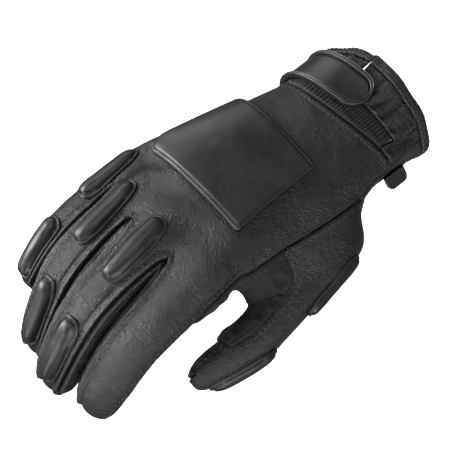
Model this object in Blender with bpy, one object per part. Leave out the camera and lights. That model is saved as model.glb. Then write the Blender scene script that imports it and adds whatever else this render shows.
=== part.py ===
"""Leather rappel glove for the right hand: hollow sewn panels with pads, palm patch, cuff and strap.

The glove points along -Y with its back up and its thumb at +X. The origin is the centre of the
cuff's mouth. One quad cage describes the whole hand. It is subdivided once, and each leather
panel is cut from it along its seams and given the hide's thickness, so that neighbours always fit.
"""

import math

import bmesh
import bpy
import numpy as np
from mathutils import Matrix, Vector
from mathutils.bvhtree import BVHTree

MM = 0.001


def lerp(a, b, share):
    return a + (b - a) * share


# Leather and clearances
LEATHER = 1.5 * MM
PATCH_LEATHER = 1.4 * MM
SEAM_GAP = 0.3 * MM
PATCH_GAP = 0.35 * MM
SEAT_GAP = 0.6 * MM

# Hand and cuff
CUFF_LENGTH = 30 * MM
HAND_LENGTH = 106 * MM
MOUTH_WIDTH = 80 * MM
MOUTH_DEPTH = 61 * MM
WRIST_WIDTH = 78 * MM
WRIST_DEPTH = 45 * MM
THUMB_SIDE_RISE = 14 * MM
THUMB_SIDE_ANGLE = 35
RISE_FADE = 0.30
PALM_DEPTH = 36 * MM
WRIST_SHIFT = -1 * MM
KNUCKLE_SHIFT = -14.5 * MM
KNUCKLE_RISE = 13 * MM

# Fingers and thumb
FINGER_WIDTH = 27 * MM
FINGER_DEPTH = 26 * MM
FINGER_GAP = 1 * MM
INDEX_LENGTH = 98 * MM
MIDDLE_LENGTH = 109 * MM
RING_LENGTH = 105 * MM
LITTLE_LENGTH = 87 * MM
THUMB_LENGTH = 124 * MM
THUMB_WIDTH = 26 * MM
THUMB_DEPTH = 26 * MM

# Pads
PAD_WIDTH = 12.5 * MM
PAD_HEIGHT = 4 * MM
THUMB_PAD_HEIGHT = 3 * MM
PAD_EDGE = 1.6 * MM
BACK_PAD_HEIGHT = 3.4 * MM

# Cuff, elastic and strap
ELASTIC_LENGTH = 16 * MM
ELASTIC_THICKNESS = 1.8 * MM
GATHER_DEPTH = 1 * MM
RUFFLE_DEPTH = 1.6 * MM
HEM_HEIGHT = 4 * MM
HEM_LEATHER = 2.6 * MM
STRAP_WIDTH = 21 * MM
STRAP_LEATHER = 2 * MM
STRAP_GAP = 1.2 * MM
BINDING_WIDTH = 2.4 * MM
BINDING_HEIGHT = 3.2 * MM
TAB_LENGTH = 9 * MM
TAB_WIDTH = 14 * MM
TAB_LEATHER = 2.4 * MM
TAB_GAP = -0.3 * MM

PITCH = FINGER_WIDTH + FINGER_GAP
KNUCKLE_WIDTH = 3.42 * PITCH
WRIST_Y = -CUFF_LENGTH
KNUCKLE_Y = WRIST_Y - HAND_LENGTH

# Rings of the hand, from the wrist to the thumb's fork. "along" is the share of the hand's length,
# "form" runs from the wrist's section at 0 to the knuckles' section at 1, and "swell" widens the thumb
# side. "roll" lowers the thumb side and "seam" places the side seam there, both in degrees. "skew"
# moves the thumb side on towards the fingers.
HAND_RINGS = (
    {"along": 0.00, "form": 0.00, "swell": 1.00, "roll": 13, "seam": 32, "skew": 0.00},
    {"along": 0.175, "form": 0.20, "swell": 1.10, "roll": 12, "seam": 31, "skew": 0.00},
    {"along": 0.40, "form": 0.46, "swell": 1.06, "roll": 9, "seam": 26, "skew": 0.00},
    {"along": 0.61, "form": 0.75, "swell": 1.00, "roll": 5, "seam": 18, "skew": -0.04},
    {"along": 0.785, "form": 1.00, "swell": 1.00, "roll": 2, "seam": 12, "skew": -0.12},
)

ELASTIC_SHARE = ELASTIC_LENGTH / CUFF_LENGTH
HEM_SHARE = HEM_HEIGHT / CUFF_LENGTH

# Rings of the cuff, from the mouth to the wrist. "form" runs from the wrist's section to the mouth's,
# "tilt" and "turn" lean the ring, so that the cuff is longer over the back and on the thumb side, and
# "vent" is half the angle of the column that stays open at the back of the cuff, all in degrees.
CUFF_RINGS = (
    {"along": 1.00, "form": 1.00, "roll": 28, "tilt": 18, "turn": 8, "vent": 1.9},
    {"along": 1.00 - HEM_SHARE, "form": 0.94, "roll": 27, "tilt": 17, "turn": 7, "vent": 1.8},
    {"along": lerp(ELASTIC_SHARE, 1.0, 0.45), "form": 0.55, "roll": 20, "tilt": 8, "turn": 4, "vent": 1.7},
    {"along": ELASTIC_SHARE, "form": 0.20, "roll": 15, "tilt": 3, "turn": 1, "vent": 1.6},
    {"along": 0.00, "form": 0.00, "roll": 13, "tilt": 0, "turn": 0, "vent": 6.0},
)
VENT_PLACES = ("T5", "T6")
VENT_ANGLE = 117
ELASTIC_PLACES = ("T1", "T2", "T3", "T4", "T5", "T6", "T7")

# Places round the hand's section, in degrees from the thumb side over the back: S and U are the two
# side seams, T runs over the back and B back under the palm.
SECTION_ANGLES = {
    "S": 12, "T0": 36, "T1": 54, "T2": 68, "T3": 80, "T4": 91, "T5": 102, "T6": 114, "T7": 129,
    "T8": 150, "U": 180, "B8": 212, "B7": 232, "B6": 248, "B5": 260, "B4": 270, "B3": 280,
    "B2": 292, "B1": 308, "B0": 334,
}
SECTION_ORDER = tuple(SECTION_ANGLES)

# Fingers, each from its knuckle. "across", "back" and "up" place the knuckle from the middle one's,
# as shares of the finger pitch. Bends, splay and roll are in degrees.
FINGERS = (
    {"name": "index", "length": INDEX_LENGTH, "width": 1.05, "across": 1.06, "back": 0.00, "up": -0.27,
     "knuckle_bend": 12, "middle_bend": 28, "tip_bend": 16, "splay": -1, "roll": -1},
    {"name": "middle", "length": MIDDLE_LENGTH, "width": 1.00, "across": 0.00, "back": 0.00, "up": 0.00,
     "knuckle_bend": 13, "middle_bend": 30, "tip_bend": 17, "splay": -2, "roll": -4},
    {"name": "ring", "length": RING_LENGTH, "width": 0.97, "across": -0.965, "back": 0.17, "up": -0.15,
     "knuckle_bend": 13, "middle_bend": 29, "tip_bend": 16, "splay": -1, "roll": -14},
    {"name": "little", "length": LITTLE_LENGTH, "width": 0.90, "across": -1.60, "back": 0.69, "up": -0.68,
     "knuckle_bend": 5, "middle_bend": 17, "tip_bend": 20, "splay": 5, "roll": -26},
)
MIDDLE_JOINT = 0.475
TIP_JOINT = 0.77
BEND_SPREAD = 0.085

# Sections of a finger. "along" is the share of its length and "size" the share of its width.
FINGER_SECTIONS = (
    {"along": 0.36, "size": 0.98},
    {"along": 0.50, "size": 0.96},
    {"along": 0.66, "size": 0.92},
    {"along": 0.82, "size": 0.87},
    {"along": 0.955, "size": 0.68},
)

# The eight seam and centre lines round a finger, as shares of its half width and half depth.
FINGER_OUTLINE = (
    (0.96, 0.62), (0.00, 1.08), (-0.96, 0.62), (-1.04, 0.00),
    (-0.92, -0.62), (0.00, -1.05), (0.92, -0.62), (1.04, 0.00),
)

# Stations of the fork where a finger leaves the hand, as shares of the finger's length.
FORK = {"back": 0.02, "side": 0.14, "palm": 0.24}

# Thumb line: start from the wrist's centre as shares of the hand's length, angles in degrees.
THUMB_START = {"across": 0.308, "along": 0.217, "down": 0.113}
THUMB_SPLAY = -22
THUMB_PITCH = 12
THUMB_ROLL = 100
THUMB_JOINTS = ({"along": 0.30, "bend": 15}, {"along": 0.64, "bend": 18})

# Sections of the thumb. "slant" moves the ball side on from the outer side, as a share of its
# length. "outer", "inner" and "width" are shares of its half depth and half width.
THUMB_SECTIONS = (
    {"along": 0.29, "slant": 0.255, "outer": 1.60, "inner": 1.05, "width": 1.06},
    {"along": 0.43, "slant": 0.175, "outer": 1.00, "inner": 1.05, "width": 1.06},
    {"along": 0.54, "slant": 0.120, "outer": 0.80, "inner": 1.00, "width": 1.04},
    {"along": 0.645, "slant": 0.075, "outer": 0.80, "inner": 0.98, "width": 1.02},
    {"along": 0.76, "slant": 0.030, "outer": 0.82, "inner": 0.94, "width": 0.98},
    {"along": 0.88, "slant": 0.005, "outer": 0.74, "inner": 0.84, "width": 0.88},
    {"along": 0.96, "slant": 0.000, "outer": 0.52, "inner": 0.58, "width": 0.62},
)

# The ten lines round the thumb, as shares of its half depth (outwards) and half width (upwards).
THUMB_OUTLINE = (
    (0.78, 0.84), (0.28, 1.06), (-0.28, 1.06), (-0.80, 0.80), (-1.06, 0.00),
    (-0.80, -0.80), (-0.28, -1.06), (0.28, -1.06), (0.78, -0.84), (1.08, 0.00),
)

# Raised pads on the fingers, from and to as shares of the finger's length, "side" in degrees round it.
FINGER_PADS = (
    {"name": "knuckle_pad_middle", "finger": "middle", "start": -0.03, "end": 0.35, "side": 0},
    {"name": "knuckle_pad_ring", "finger": "ring", "start": -0.03, "end": 0.37, "side": 0},
    {"name": "knuckle_pad_little", "finger": "little", "start": -0.06, "end": 0.38, "side": 0},
    {"name": "finger_pad_middle", "finger": "middle", "start": 0.53, "end": 0.88, "side": 0},
    {"name": "finger_pad_ring", "finger": "ring", "start": 0.53, "end": 0.89, "side": 0},
    {"name": "finger_pad_little", "finger": "little", "start": 0.53, "end": 0.92, "side": 0},
)
THUMB_PADS = (
    {"name": "thumb_pad_joint", "start": 0.13, "end": 0.43, "side": 14},
    {"name": "thumb_pad_tip", "start": 0.62, "end": 0.93, "side": 10},
)

# The large pad on the back: its two ends along the hand, and its sides in degrees round the hand's axis.
BACK_PAD = (
    {"along": 0.238, "thumb_side": 43, "little_side": 158},
    {"along": 0.760, "thumb_side": 29, "little_side": 160},
)

# The strap runs from its sewn root, at an angle round the cuff's axis, over the vent to its free end.
STRAP_ROOT_ANGLE = 186
STRAP_SKEW = 7
STRAP_LENGTH = 68 * MM
STRAP_ROOT_Y = -19 * MM
TAB_ANGLE = -14
TAB_Y = -16 * MM
TAB_WAY = Vector((0.60, 0.0, -0.80))
TAB_FACE = Vector((0.80, 0.0, 0.60))
RUFFLES = 9

PANELS = (
    "back_panel", "palm_panel", "fourchette_index_middle", "fourchette_middle_ring",
    "fourchette_ring_little", "thumb_back", "thumb_front", "cuff", "cuff_hem", "wrist_elastic",
    "vent",
)
OPEN_PANELS = ("wrist_elastic", "vent")
PATCH_FLAG = 16

HIDE = {"color": (0.022, 0.023, 0.025, 1), "roughness": 0.42}
SMOOTH_HIDE = {"color": (0.030, 0.031, 0.033, 1), "roughness": 0.36}
SUEDE = {"color": (0.018, 0.018, 0.019, 1), "roughness": 0.72}
ELASTIC = {"color": (0.020, 0.020, 0.022, 1), "roughness": 0.80}


def smooth_step(t):
    t = np.clip(t, 0.0, 1.0)
    return t * t * (3.0 - 2.0 * t)


def column(rows, name):
    return [row[name] for row in rows]


def thumb_side_rise(angle):
    """How far the wrist's seam climbs towards the mouth at this angle."""
    return THUMB_SIDE_RISE * max(0.0, math.cos(math.radians(angle - THUMB_SIDE_ANGLE))) ** 2


def section_point(centre, half_width, back, palm, roll, skew, angle, power):
    """A point of a rounded section that stands across the hand, rolled about the hand's length."""
    c, s = math.cos(math.radians(angle)), math.sin(math.radians(angle))
    x = half_width * math.copysign(abs(c) ** (2 / power), c)
    z = (back if s > 0 else palm) * math.copysign(abs(s) ** (2 / power), s)
    r = math.radians(roll)
    across = x * math.cos(r) + z * math.sin(r)
    up = z * math.cos(r) - x * math.sin(r)
    return Vector((centre.x + across, centre.y + skew * across, centre.z + up))


def hand_point(ring, angle):
    form = ring["form"]
    centre = Vector((
        lerp(WRIST_SHIFT, KNUCKLE_SHIFT - 0.11 * PITCH, form),
        WRIST_Y - ring["along"] * HAND_LENGTH,
        lerp(0.06 * WRIST_DEPTH, 0.42 * KNUCKLE_RISE, form),
    ))
    half_width = lerp(WRIST_WIDTH, KNUCKLE_WIDTH, form) / 2
    if math.cos(math.radians(angle)) > 0:
        half_width *= ring["swell"]
    half_depth = lerp(WRIST_DEPTH, PALM_DEPTH, form) / 2
    point = section_point(
        centre, half_width, 1.04 * half_depth, 0.98 * half_depth,
        ring["roll"], ring["skew"], angle, lerp(2.2, 2.6, form),
    )
    point.y += thumb_side_rise(angle) * max(0.0, 1 - ring["along"] / RISE_FADE)
    return point


def cuff_point(ring, angle):
    form = ring["form"]
    centre = Vector((
        lerp(WRIST_SHIFT, 0.0, form),
        WRIST_Y + ring["along"] * CUFF_LENGTH,
        lerp(0.06 * WRIST_DEPTH, 0.0, form),
    ))
    half_width = lerp(WRIST_WIDTH, MOUTH_WIDTH, form) / 2
    half_depth = lerp(WRIST_DEPTH, MOUTH_DEPTH, form) / 2
    point = section_point(
        centre, half_width, half_depth, half_depth, ring["roll"], 0.0, angle, 2.2
    )
    point.y += thumb_side_rise(angle) * max(0.0, 1 - ring["along"] / ELASTIC_SHARE)
    point.y += (point.z - centre.z) * math.tan(math.radians(ring["tilt"]))
    point.y += (point.x - centre.x) * math.tan(math.radians(ring["turn"]))
    return point


class Line:
    """A finger's centre line: a bending path whose frames give its back, its side and its way on."""

    def __init__(self, start, turn, length, joints, spread, lead=0.0):
        stations = np.linspace(-0.15, 1.05, 241)
        angle = np.full_like(stations, math.radians(lead))
        for joint in joints:
            step = smooth_step((stations - joint["along"] + spread) / (2 * spread))
            angle = angle + math.radians(joint["bend"]) * step
        rotation = np.array(turn)
        zero = np.zeros_like(stations)
        self.way = np.stack([zero, -np.cos(angle), -np.sin(angle)], 1) @ rotation.T
        self.back = np.stack([zero, -np.sin(angle), np.cos(angle)], 1) @ rotation.T
        self.side = rotation @ np.array([1.0, 0.0, 0.0])
        path = np.cumsum(self.way * (stations[1] - stations[0]) * length, axis=0)
        origin = [np.interp(0.0, stations, path[:, k]) for k in range(3)]
        self.path = path - origin + np.array(start)
        self.stations = stations

    def at(self, along, rows):
        return Vector([float(np.interp(along, self.stations, rows[:, k])) for k in range(3)])

    def point(self, along, across=0.0, up=0.0):
        """A place beside the line, across towards its side and up from its back, in metres."""
        back = self.at(along, self.back).normalized()
        return self.at(along, self.path) + Vector(self.side) * across + back * up


def finger_line(finger):
    start = Vector((
        KNUCKLE_SHIFT + finger["across"] * PITCH,
        KNUCKLE_Y + finger["back"] * PITCH,
        KNUCKLE_RISE + finger["up"] * PITCH,
    ))
    turn = Matrix.Rotation(math.radians(-finger["splay"]), 3, "Z") @ Matrix.Rotation(
        math.radians(finger["roll"]), 3, "Y"
    )
    joints = (
        {"along": 0.0, "bend": finger["knuckle_bend"]},
        {"along": MIDDLE_JOINT, "bend": finger["middle_bend"]},
        {"along": TIP_JOINT, "bend": finger["tip_bend"]},
    )
    return Line(start, turn, finger["length"], joints, BEND_SPREAD)


def thumb_line():
    start = Vector((
        THUMB_START["across"] * HAND_LENGTH,
        WRIST_Y - THUMB_START["along"] * HAND_LENGTH,
        -THUMB_START["down"] * HAND_LENGTH,
    ))
    turn = (
        Matrix.Rotation(math.radians(-THUMB_SPLAY), 3, "Z")
        @ Matrix.Rotation(math.radians(THUMB_PITCH), 3, "X")
        @ Matrix.Rotation(math.radians(THUMB_ROLL), 3, "Y")
    )
    return Line(start, turn, THUMB_LENGTH, THUMB_JOINTS, BEND_SPREAD)


class Cage:
    """The glove's quad cage: named points, and faces that know which panel they belong to."""

    def __init__(self):
        self.points = []
        self.index = {}
        self.faces = []
        self.marks = []

    def put(self, key, point):
        self.index[key] = len(self.points)
        self.points.append(tuple(point))

    def share(self, key, other):
        self.index[key] = self.index[other]

    def face(self, keys, panel, patched=False):
        self.faces.append([self.index[key] for key in keys])
        self.marks.append(PANELS.index(panel) + (PATCH_FLAG if patched else 0))


def finger_point(line, finger, along, place, size=1.0):
    across, up = FINGER_OUTLINE[place]
    half_width = finger["width"] * FINGER_WIDTH / 2 * size
    half_depth = finger["width"] * FINGER_DEPTH / 2 * size
    return line.point(along, across * half_width, up * half_depth)


def put_knuckles(cage, lines):
    """The ring over the knuckles, "K", and the forked ring where the fingers leave the hand, "F"."""
    for ring, stations in (
        ("K", {"back": -0.10, "side": -0.06, "palm": 0.03}),
        ("F", FORK),
    ):
        for k, finger in enumerate(FINGERS):
            line = lines[k]
            cage.put((ring, f"T{2 * k + 1}"), finger_point(line, finger, stations["back"], 1))
            cage.put((ring, f"B{2 * k + 1}"), finger_point(line, finger, stations["palm"], 5))
        first, last = FINGERS[0], FINGERS[-1]
        cage.put((ring, "T0"), finger_point(lines[0], first, stations["back"], 0))
        cage.put((ring, "S"), finger_point(lines[0], first, stations["back"], 7))
        cage.put((ring, "B0"), finger_point(lines[0], first, stations["palm"], 6))
        cage.put((ring, "T8"), finger_point(lines[3], last, stations["back"], 2))
        cage.put((ring, "U"), finger_point(lines[3], last, stations["back"], 3))
        cage.put((ring, "B8"), finger_point(lines[3], last, stations["palm"], 4))
        for k in range(3):
            near, far = FINGERS[k], FINGERS[k + 1]
            for name, station, place, other in (
                (f"T{2 * k + 2}", stations["back"], 2, 0),
                (f"B{2 * k + 2}", stations["palm"], 4, 6),
                (f"W{k + 1}", stations["side"], 3, 7),
            ):
                a = finger_point(lines[k], near, station, place)
                b = finger_point(lines[k + 1], far, station, other)
                cage.put((ring, name), (a + b) / 2)


def add_fingers(cage, lines):
    for k, finger in enumerate(FINGERS):
        name = finger["name"]
        sides = ("S" if k == 0 else f"W{k}", "U" if k == 3 else f"W{k + 1}")
        base = (
            f"T{2 * k}", f"T{2 * k + 1}", f"T{2 * k + 2}", sides[1],
            f"B{2 * k + 2}", f"B{2 * k + 1}", f"B{2 * k}", sides[0],
        )
        for place, key in enumerate(base):
            cage.share((name, 0, place), ("F", key))
        for row, section in enumerate(FINGER_SECTIONS, 1):
            for place in range(8):
                cage.put(
                    (name, row, place),
                    finger_point(lines[k], finger, section["along"], place, section["size"]),
                )
        near = "palm_panel" if k == 0 else fourchette(k - 1)
        far = "palm_panel" if k == 3 else fourchette(k)
        panels = (
            "back_panel", "back_panel", "back_panel" if k == 3 else far, far,
            "palm_panel", "palm_panel", near, "back_panel" if k == 0 else near,
        )
        rows = len(FINGER_SECTIONS)
        for row in range(rows):
            for place in range(8):
                nxt = (place + 1) % 8
                cage.face(
                    ((name, row, place), (name, row, nxt), (name, row + 1, nxt), (name, row + 1, place)),
                    panels[place],
                )
        tip = (name, "tip")
        cage.put(tip, lines[k].point(1.0, 0.0, -0.02 * finger["length"]))
        for a, b, c in ((0, 1, 7), (2, 3, 1), (4, 5, 3), (6, 7, 5)):
            corner, after, before = (name, rows, a), (name, rows, b), (name, rows, c)
            panel = "back_panel" if a in (0, 2) else "palm_panel"
            cage.face((before, corner, after, tip), panel)


def fourchette(gap):
    return ("fourchette_index_middle", "fourchette_middle_ring", "fourchette_ring_little")[gap]


THUMB_HOLE = (
    (1, "S"), (2, "S"), (3, "S"), (4, "S"), (4, "B0"),
    (4, "B1"), (3, "B1"), (2, "B1"), (1, "B1"), (1, "B0"),
)
THUMB_FRONT_PLACES = (3, 4, 5)
PATCHED_THUMB_PLACES = (2, 3, 4, 5)
PATCHED_THUMB_ROWS = 5


def thumb_point(line, section, place):
    outwards, upwards = THUMB_OUTLINE[place]
    along = section["along"] - section["slant"] * outwards
    depth = section["outer"] if outwards > 0 else section["inner"]
    return line.point(
        along,
        -upwards * section["width"] * THUMB_WIDTH / 2,
        outwards * depth * THUMB_DEPTH / 2,
    )


def add_thumb(cage, line):
    for place, key in enumerate(THUMB_HOLE):
        cage.share(("thumb", 0, place), key)
    rows = len(THUMB_SECTIONS)
    for row, section in enumerate(THUMB_SECTIONS, 1):
        for place in range(10):
            cage.put(("thumb", row, place), thumb_point(line, section, place))
    for row in range(rows):
        for place in range(10):
            nxt = (place + 1) % 10
            panel = "thumb_front" if place in THUMB_FRONT_PLACES else "thumb_back"
            patched = place in PATCHED_THUMB_PLACES and row < PATCHED_THUMB_ROWS
            cage.face(
                (
                    ("thumb", row, nxt), ("thumb", row, place),
                    ("thumb", row + 1, place), ("thumb", row + 1, nxt),
                )[::-1],
                panel, patched,
            )
    for key, across in (("tip_out", 0.28), ("tip_in", -0.28)):
        cage.put(("thumb", key), line.point(0.995, 0.0, across * THUMB_DEPTH / 2))
    ring = [("thumb", rows, place) for place in range(10)]
    out, ball = ("thumb", "tip_out"), ("thumb", "tip_in")
    for keys, panel in (
        ((ring[9], ring[0], ring[1], out), "thumb_back"),
        ((out, ring[1], ring[2], ball), "thumb_back"),
        ((ball, ring[2], ring[3], ring[4]), "thumb_front"),
        ((ring[8], ring[9], out, ring[7]), "thumb_back"),
        ((ring[7], out, ball, ring[6]), "thumb_back"),
        ((ring[6], ball, ring[4], ring[5]), "thumb_front"),
    ):
        cage.face(keys, panel)


PATCHED_PALM = {"B0", "B1", "B2", "B3", "B4", "B5"}


def section_angles(seam):
    """The section's angles, with the side seam on the thumb's side at this one."""
    angles = dict(SECTION_ANGLES)
    angles["S"] = seam
    angles["T0"] = (seam + angles["T1"]) / 2
    return angles


def cuff_angles(ring):
    """The section's angles, with the vent's two sides drawn together."""
    angles = section_angles(HAND_RINGS[0]["seam"])
    for name, side in zip(VENT_PLACES, (-1, 1)):
        angles[name] = VENT_ANGLE + side * ring["vent"]
    return angles


def add_cuff(cage):
    last = len(CUFF_RINGS) - 1
    for n, ring in enumerate(CUFF_RINGS[:-1]):
        for name, angle in cuff_angles(ring).items():
            cage.put(("cuff", n, name), cuff_point(ring, angle))
    for name in SECTION_ORDER:
        cage.share(("cuff", last, name), (0, name))
    for n in range(last):
        for place, name in enumerate(SECTION_ORDER):
            nxt = SECTION_ORDER[(place + 1) % len(SECTION_ORDER)]
            in_elastic = n == last - 1
            panel = "cuff_hem" if n == 0 else "cuff"
            if (name, nxt) == VENT_PLACES:
                panel = "vent"
            if in_elastic and name in ELASTIC_PLACES:
                panel = "wrist_elastic"
            a, b = ("cuff", n), ("cuff", n + 1)
            cage.face(((*a, name), (*a, nxt), (*b, nxt), (*b, name)), panel)


def add_hand(cage):
    for n, ring in enumerate(HAND_RINGS):
        for name, angle in section_angles(ring["seam"]).items():
            cage.put((n, name), hand_point(ring, angle))
    rings = (*range(len(HAND_RINGS)), "K", "F")
    hole_rows = (1, 2, 3)
    for n, (ring, following) in enumerate(zip(rings, rings[1:])):
        for place, name in enumerate(SECTION_ORDER):
            nxt = SECTION_ORDER[(place + 1) % len(SECTION_ORDER)]
            if ring in hole_rows and name in ("B0", "B1") and nxt in ("B0", "S"):
                continue
            on_back = name == "S" or name.startswith("T")
            panel = "back_panel" if on_back else "palm_panel"
            patched = not on_back and name in PATCHED_PALM and n >= 1
            cage.face(
                ((ring, name), (ring, nxt), (following, nxt), (following, name)), panel, patched,
            )


def glove_cage():
    cage = Cage()
    lines = [finger_line(finger) for finger in FINGERS]
    thumb = thumb_line()
    put_knuckles(cage, lines)
    add_hand(cage)
    add_cuff(cage)
    add_fingers(cage, lines)
    add_thumb(cage, thumb)
    return cage, lines, thumb


def subdivided(cage):
    """The cage subdivided once: points, quads, each face's mark and each point's normal."""
    mesh = bpy.data.meshes.new("cage")
    mesh.from_pydata(cage.points, [], cage.faces)
    mesh.polygons.foreach_set("material_index", cage.marks)
    form = bpy.data.objects.new("cage", mesh)
    bpy.context.collection.objects.link(form)
    smooth = form.modifiers.new("smooth", "SUBSURF")
    smooth.levels = smooth.render_levels = 1
    evaluated = form.evaluated_get(bpy.context.evaluated_depsgraph_get())
    fine = evaluated.to_mesh()
    points = [v.co.copy() for v in fine.vertices]
    normals = [v.normal.copy() for v in fine.vertices]
    faces = [tuple(p.vertices) for p in fine.polygons]
    marks = [p.material_index for p in fine.polygons]
    evaluated.to_mesh_clear()
    bpy.data.objects.remove(form)
    return points, normals, faces, marks


def border_edges(faces):
    """The directed edges that only one of the faces has."""
    edges = {(f[i], f[(i + 1) % len(f)]) for f in faces for i in range(len(f))}
    return [(a, b) for a, b in edges if (b, a) not in edges]


def trimmed(points, normals, faces, gap):
    """The faces' points, with the border drawn in by half the gap so that a seam stays open."""
    drawn = {i: points[i].copy() for f in faces for i in f}
    inward = {}
    for a, b in border_edges(faces):
        way = (points[b] - points[a]).normalized()
        for i in (a, b):
            inward.setdefault(i, []).append(normals[i].cross(way).normalized())
    for i, ways in inward.items():
        middle = sum(ways, Vector()).normalized()
        cosine = max(0.5, middle.dot(ways[0]))
        drawn[i] = drawn[i] + middle * (gap / 2 / cosine)
    return drawn


def shell(name, surface, wanted, low, high, material):
    """A sheet cut from the glove's surface, from low to high above it, closed round its edge."""
    points, normals, faces, marks = surface
    chosen = [f for f, mark in zip(faces, marks) if wanted(mark)]
    drawn = trimmed(points, normals, chosen, SEAM_GAP)
    order = {i: n for n, i in enumerate(sorted(drawn))}
    count = len(order)
    outer = [drawn[i] + normals[i] * high for i in sorted(drawn)]
    inner = [drawn[i] + normals[i] * low for i in sorted(drawn)]
    sheets = []
    for f in chosen:
        first = f.index(min(f))
        a, b, c, d = [order[f[(first + k) % 4]] for k in range(4)]
        sheets += [(a, b, c), (a, c, d), (c + count, b + count, a + count), (d + count, c + count, a + count)]
    for a, b in border_edges(chosen):
        top_a, top_b, low_a, low_b = order[a], order[b], order[a] + count, order[b] + count
        if a < b:
            sheets += [(top_b, top_a, low_b), (top_a, low_a, low_b)]
        else:
            sheets += [(top_b, top_a, low_a), (top_b, low_a, low_b)]
    return solid(name, outer + inner, sheets, material)


def solid(name, points, faces, material):
    mesh = bpy.data.meshes.new(name)
    mesh.from_pydata([tuple(p) for p in points], [], faces)
    work = bmesh.new()
    work.from_mesh(mesh)
    bmesh.ops.recalc_face_normals(work, faces=work.faces)
    work.to_mesh(mesh)
    work.free()
    mesh.materials.append(material)
    mesh.shade_smooth()
    mesh.set_sharp_from_angle(angle=math.radians(40))
    made = bpy.data.objects.new(name, mesh)
    bpy.context.collection.objects.link(made)
    return made


def leather(name, look):
    material = bpy.data.materials.new(name)
    material.use_nodes = True
    shader = material.node_tree.nodes["Principled BSDF"]
    shader.inputs["Base Color"].default_value = look["color"]
    shader.inputs["Roughness"].default_value = look["roughness"]
    shader.inputs["Metallic"].default_value = 0.0
    return material


def block(name, low, high, material):
    """A closed solid between two equal grids of points, given row by row."""
    rows, columns = len(low), len(low[0])
    count = rows * columns
    points = [p for row in high for p in row] + [p for row in low for p in row]
    faces = []
    for r in range(rows - 1):
        for c in range(columns - 1):
            a = r * columns + c
            quad = (a, a + 1, a + columns + 1, a + columns)
            faces.append(quad)
            faces.append(tuple(i + count for i in reversed(quad)))
    edge = [(0, c) for c in range(columns)]
    edge += [(r, columns - 1) for r in range(1, rows)]
    edge += [(rows - 1, c) for c in reversed(range(columns - 1))]
    edge += [(r, 0) for r in reversed(range(1, rows - 1))]
    rim = [r * columns + c for r, c in edge]
    for a, b in zip(rim, rim[1:] + rim[:1]):
        faces.append((b, a, a + count, b + count))
    return solid(name, points, faces, material)


def seat(tree, start, way):
    """The point of the glove's surface met from start along way, or else the nearest."""
    point, _, _, _ = tree.ray_cast(start, way)
    return tree.find_nearest(start)[0] if point is None else point


def rounded_place(u, v):
    """A place of the unit square drawn to a long rounded oval, and how near its rim it lies."""
    rim = max(abs(u), abs(v))
    bulge = 1 - 0.30 * abs(u) ** 4
    return u * (1 - 0.10 * v * v), v * bulge, rim


def cleared(tree, low, ways, gap):
    """The pad's underside, raised where its flat facets would come nearer the leather than gap."""
    rows, columns = len(low), len(low[0])
    shares = (0.0, 0.33, 0.67, 1.0)
    lifts = [[0.0] * columns for _ in low]
    for _ in range(4):
        placed = [
            [low[r][c] + ways[r][c] * lifts[r][c] for c in range(columns)] for r in range(rows)
        ]
        wanted = [[0.0] * columns for _ in low]
        for r in range(rows - 1):
            for c in range(columns - 1):
                short = 0.0
                for a in shares:
                    near = placed[r][c].lerp(placed[r + 1][c], a)
                    far = placed[r][c + 1].lerp(placed[r + 1][c + 1], a)
                    for b in shares:
                        spot = near.lerp(far, b)
                        touched, normal, _, _ = tree.find_nearest(spot)
                        short = max(short, gap - (spot - touched).dot(normal))
                for i, j in ((r, c), (r + 1, c), (r, c + 1), (r + 1, c + 1)):
                    wanted[i][j] = max(wanted[i][j], short)
        for r in range(rows):
            for c in range(columns):
                lifts[r][c] += wanted[r][c]
    return [[low[r][c] + ways[r][c] * lifts[r][c] for c in range(columns)] for r in range(rows)]


def pad_block(name, tree, seats, ways, thick, material):
    """A pad on the glove's surface, from where it sits, the ways out and its thickness at each point."""
    low = cleared(tree, seats, ways, SEAT_GAP)
    high = [
        [p + way * t for p, way, t in zip(*rows)] for rows in zip(low, ways, thick)
    ]
    return block(name, low, high, material)


def line_pad(pad, line, half_width, height, reach, tree, material):
    """A long padded oval that follows a finger's back. Each point is seated on the leather."""
    rows, columns = 7, 5
    seats, ways, thick = [], [], []
    tilt = math.radians(pad["side"])
    for r in range(rows):
        seats.append([])
        ways.append([])
        thick.append([])
        for c in range(columns):
            u, v, rim = rounded_place(2 * r / (rows - 1) - 1, 2 * c / (columns - 1) - 1)
            along = lerp(pad["start"], pad["end"], (u + 1) / 2)
            back = line.at(along, line.back).normalized()
            across = Vector(line.side)
            out = back * math.cos(tilt) - across * math.sin(tilt)
            aside = across * math.cos(tilt) + back * math.sin(tilt)
            start = line.at(along, line.path) + out * reach + aside * (v * half_width)
            seats[-1].append(seat(tree, start, -out))
            ways[-1].append(out)
            thick[-1].append(PAD_EDGE if rim > 0.99 else height)
    return pad_block(pad["name"], tree, seats, ways, thick, material)


def hand_axis(y):
    """The middle of the hand or the cuff at this distance from the mouth."""
    form = np.clip((WRIST_Y - y) / HAND_LENGTH, 0.0, 1.0)
    mouth = np.clip((y - WRIST_Y) / CUFF_LENGTH, 0.0, 1.0)
    wrist = Vector((WRIST_SHIFT, y, 0.06 * WRIST_DEPTH)) * float(1 - mouth)
    knuckles = Vector((KNUCKLE_SHIFT - 0.11 * PITCH, y, 0.42 * KNUCKLE_RISE))
    middle = wrist.lerp(knuckles, float(form))
    middle.y = y
    return middle


def wall(tree, y, angle):
    """The glove's surface met from the hand's axis at this angle: its point and the way out."""
    way = Vector((math.cos(math.radians(angle)), 0.0, math.sin(math.radians(angle))))
    middle = hand_axis(y)
    point, _, _, _ = tree.ray_cast(middle, way)
    return (middle if point is None else point), way


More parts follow.
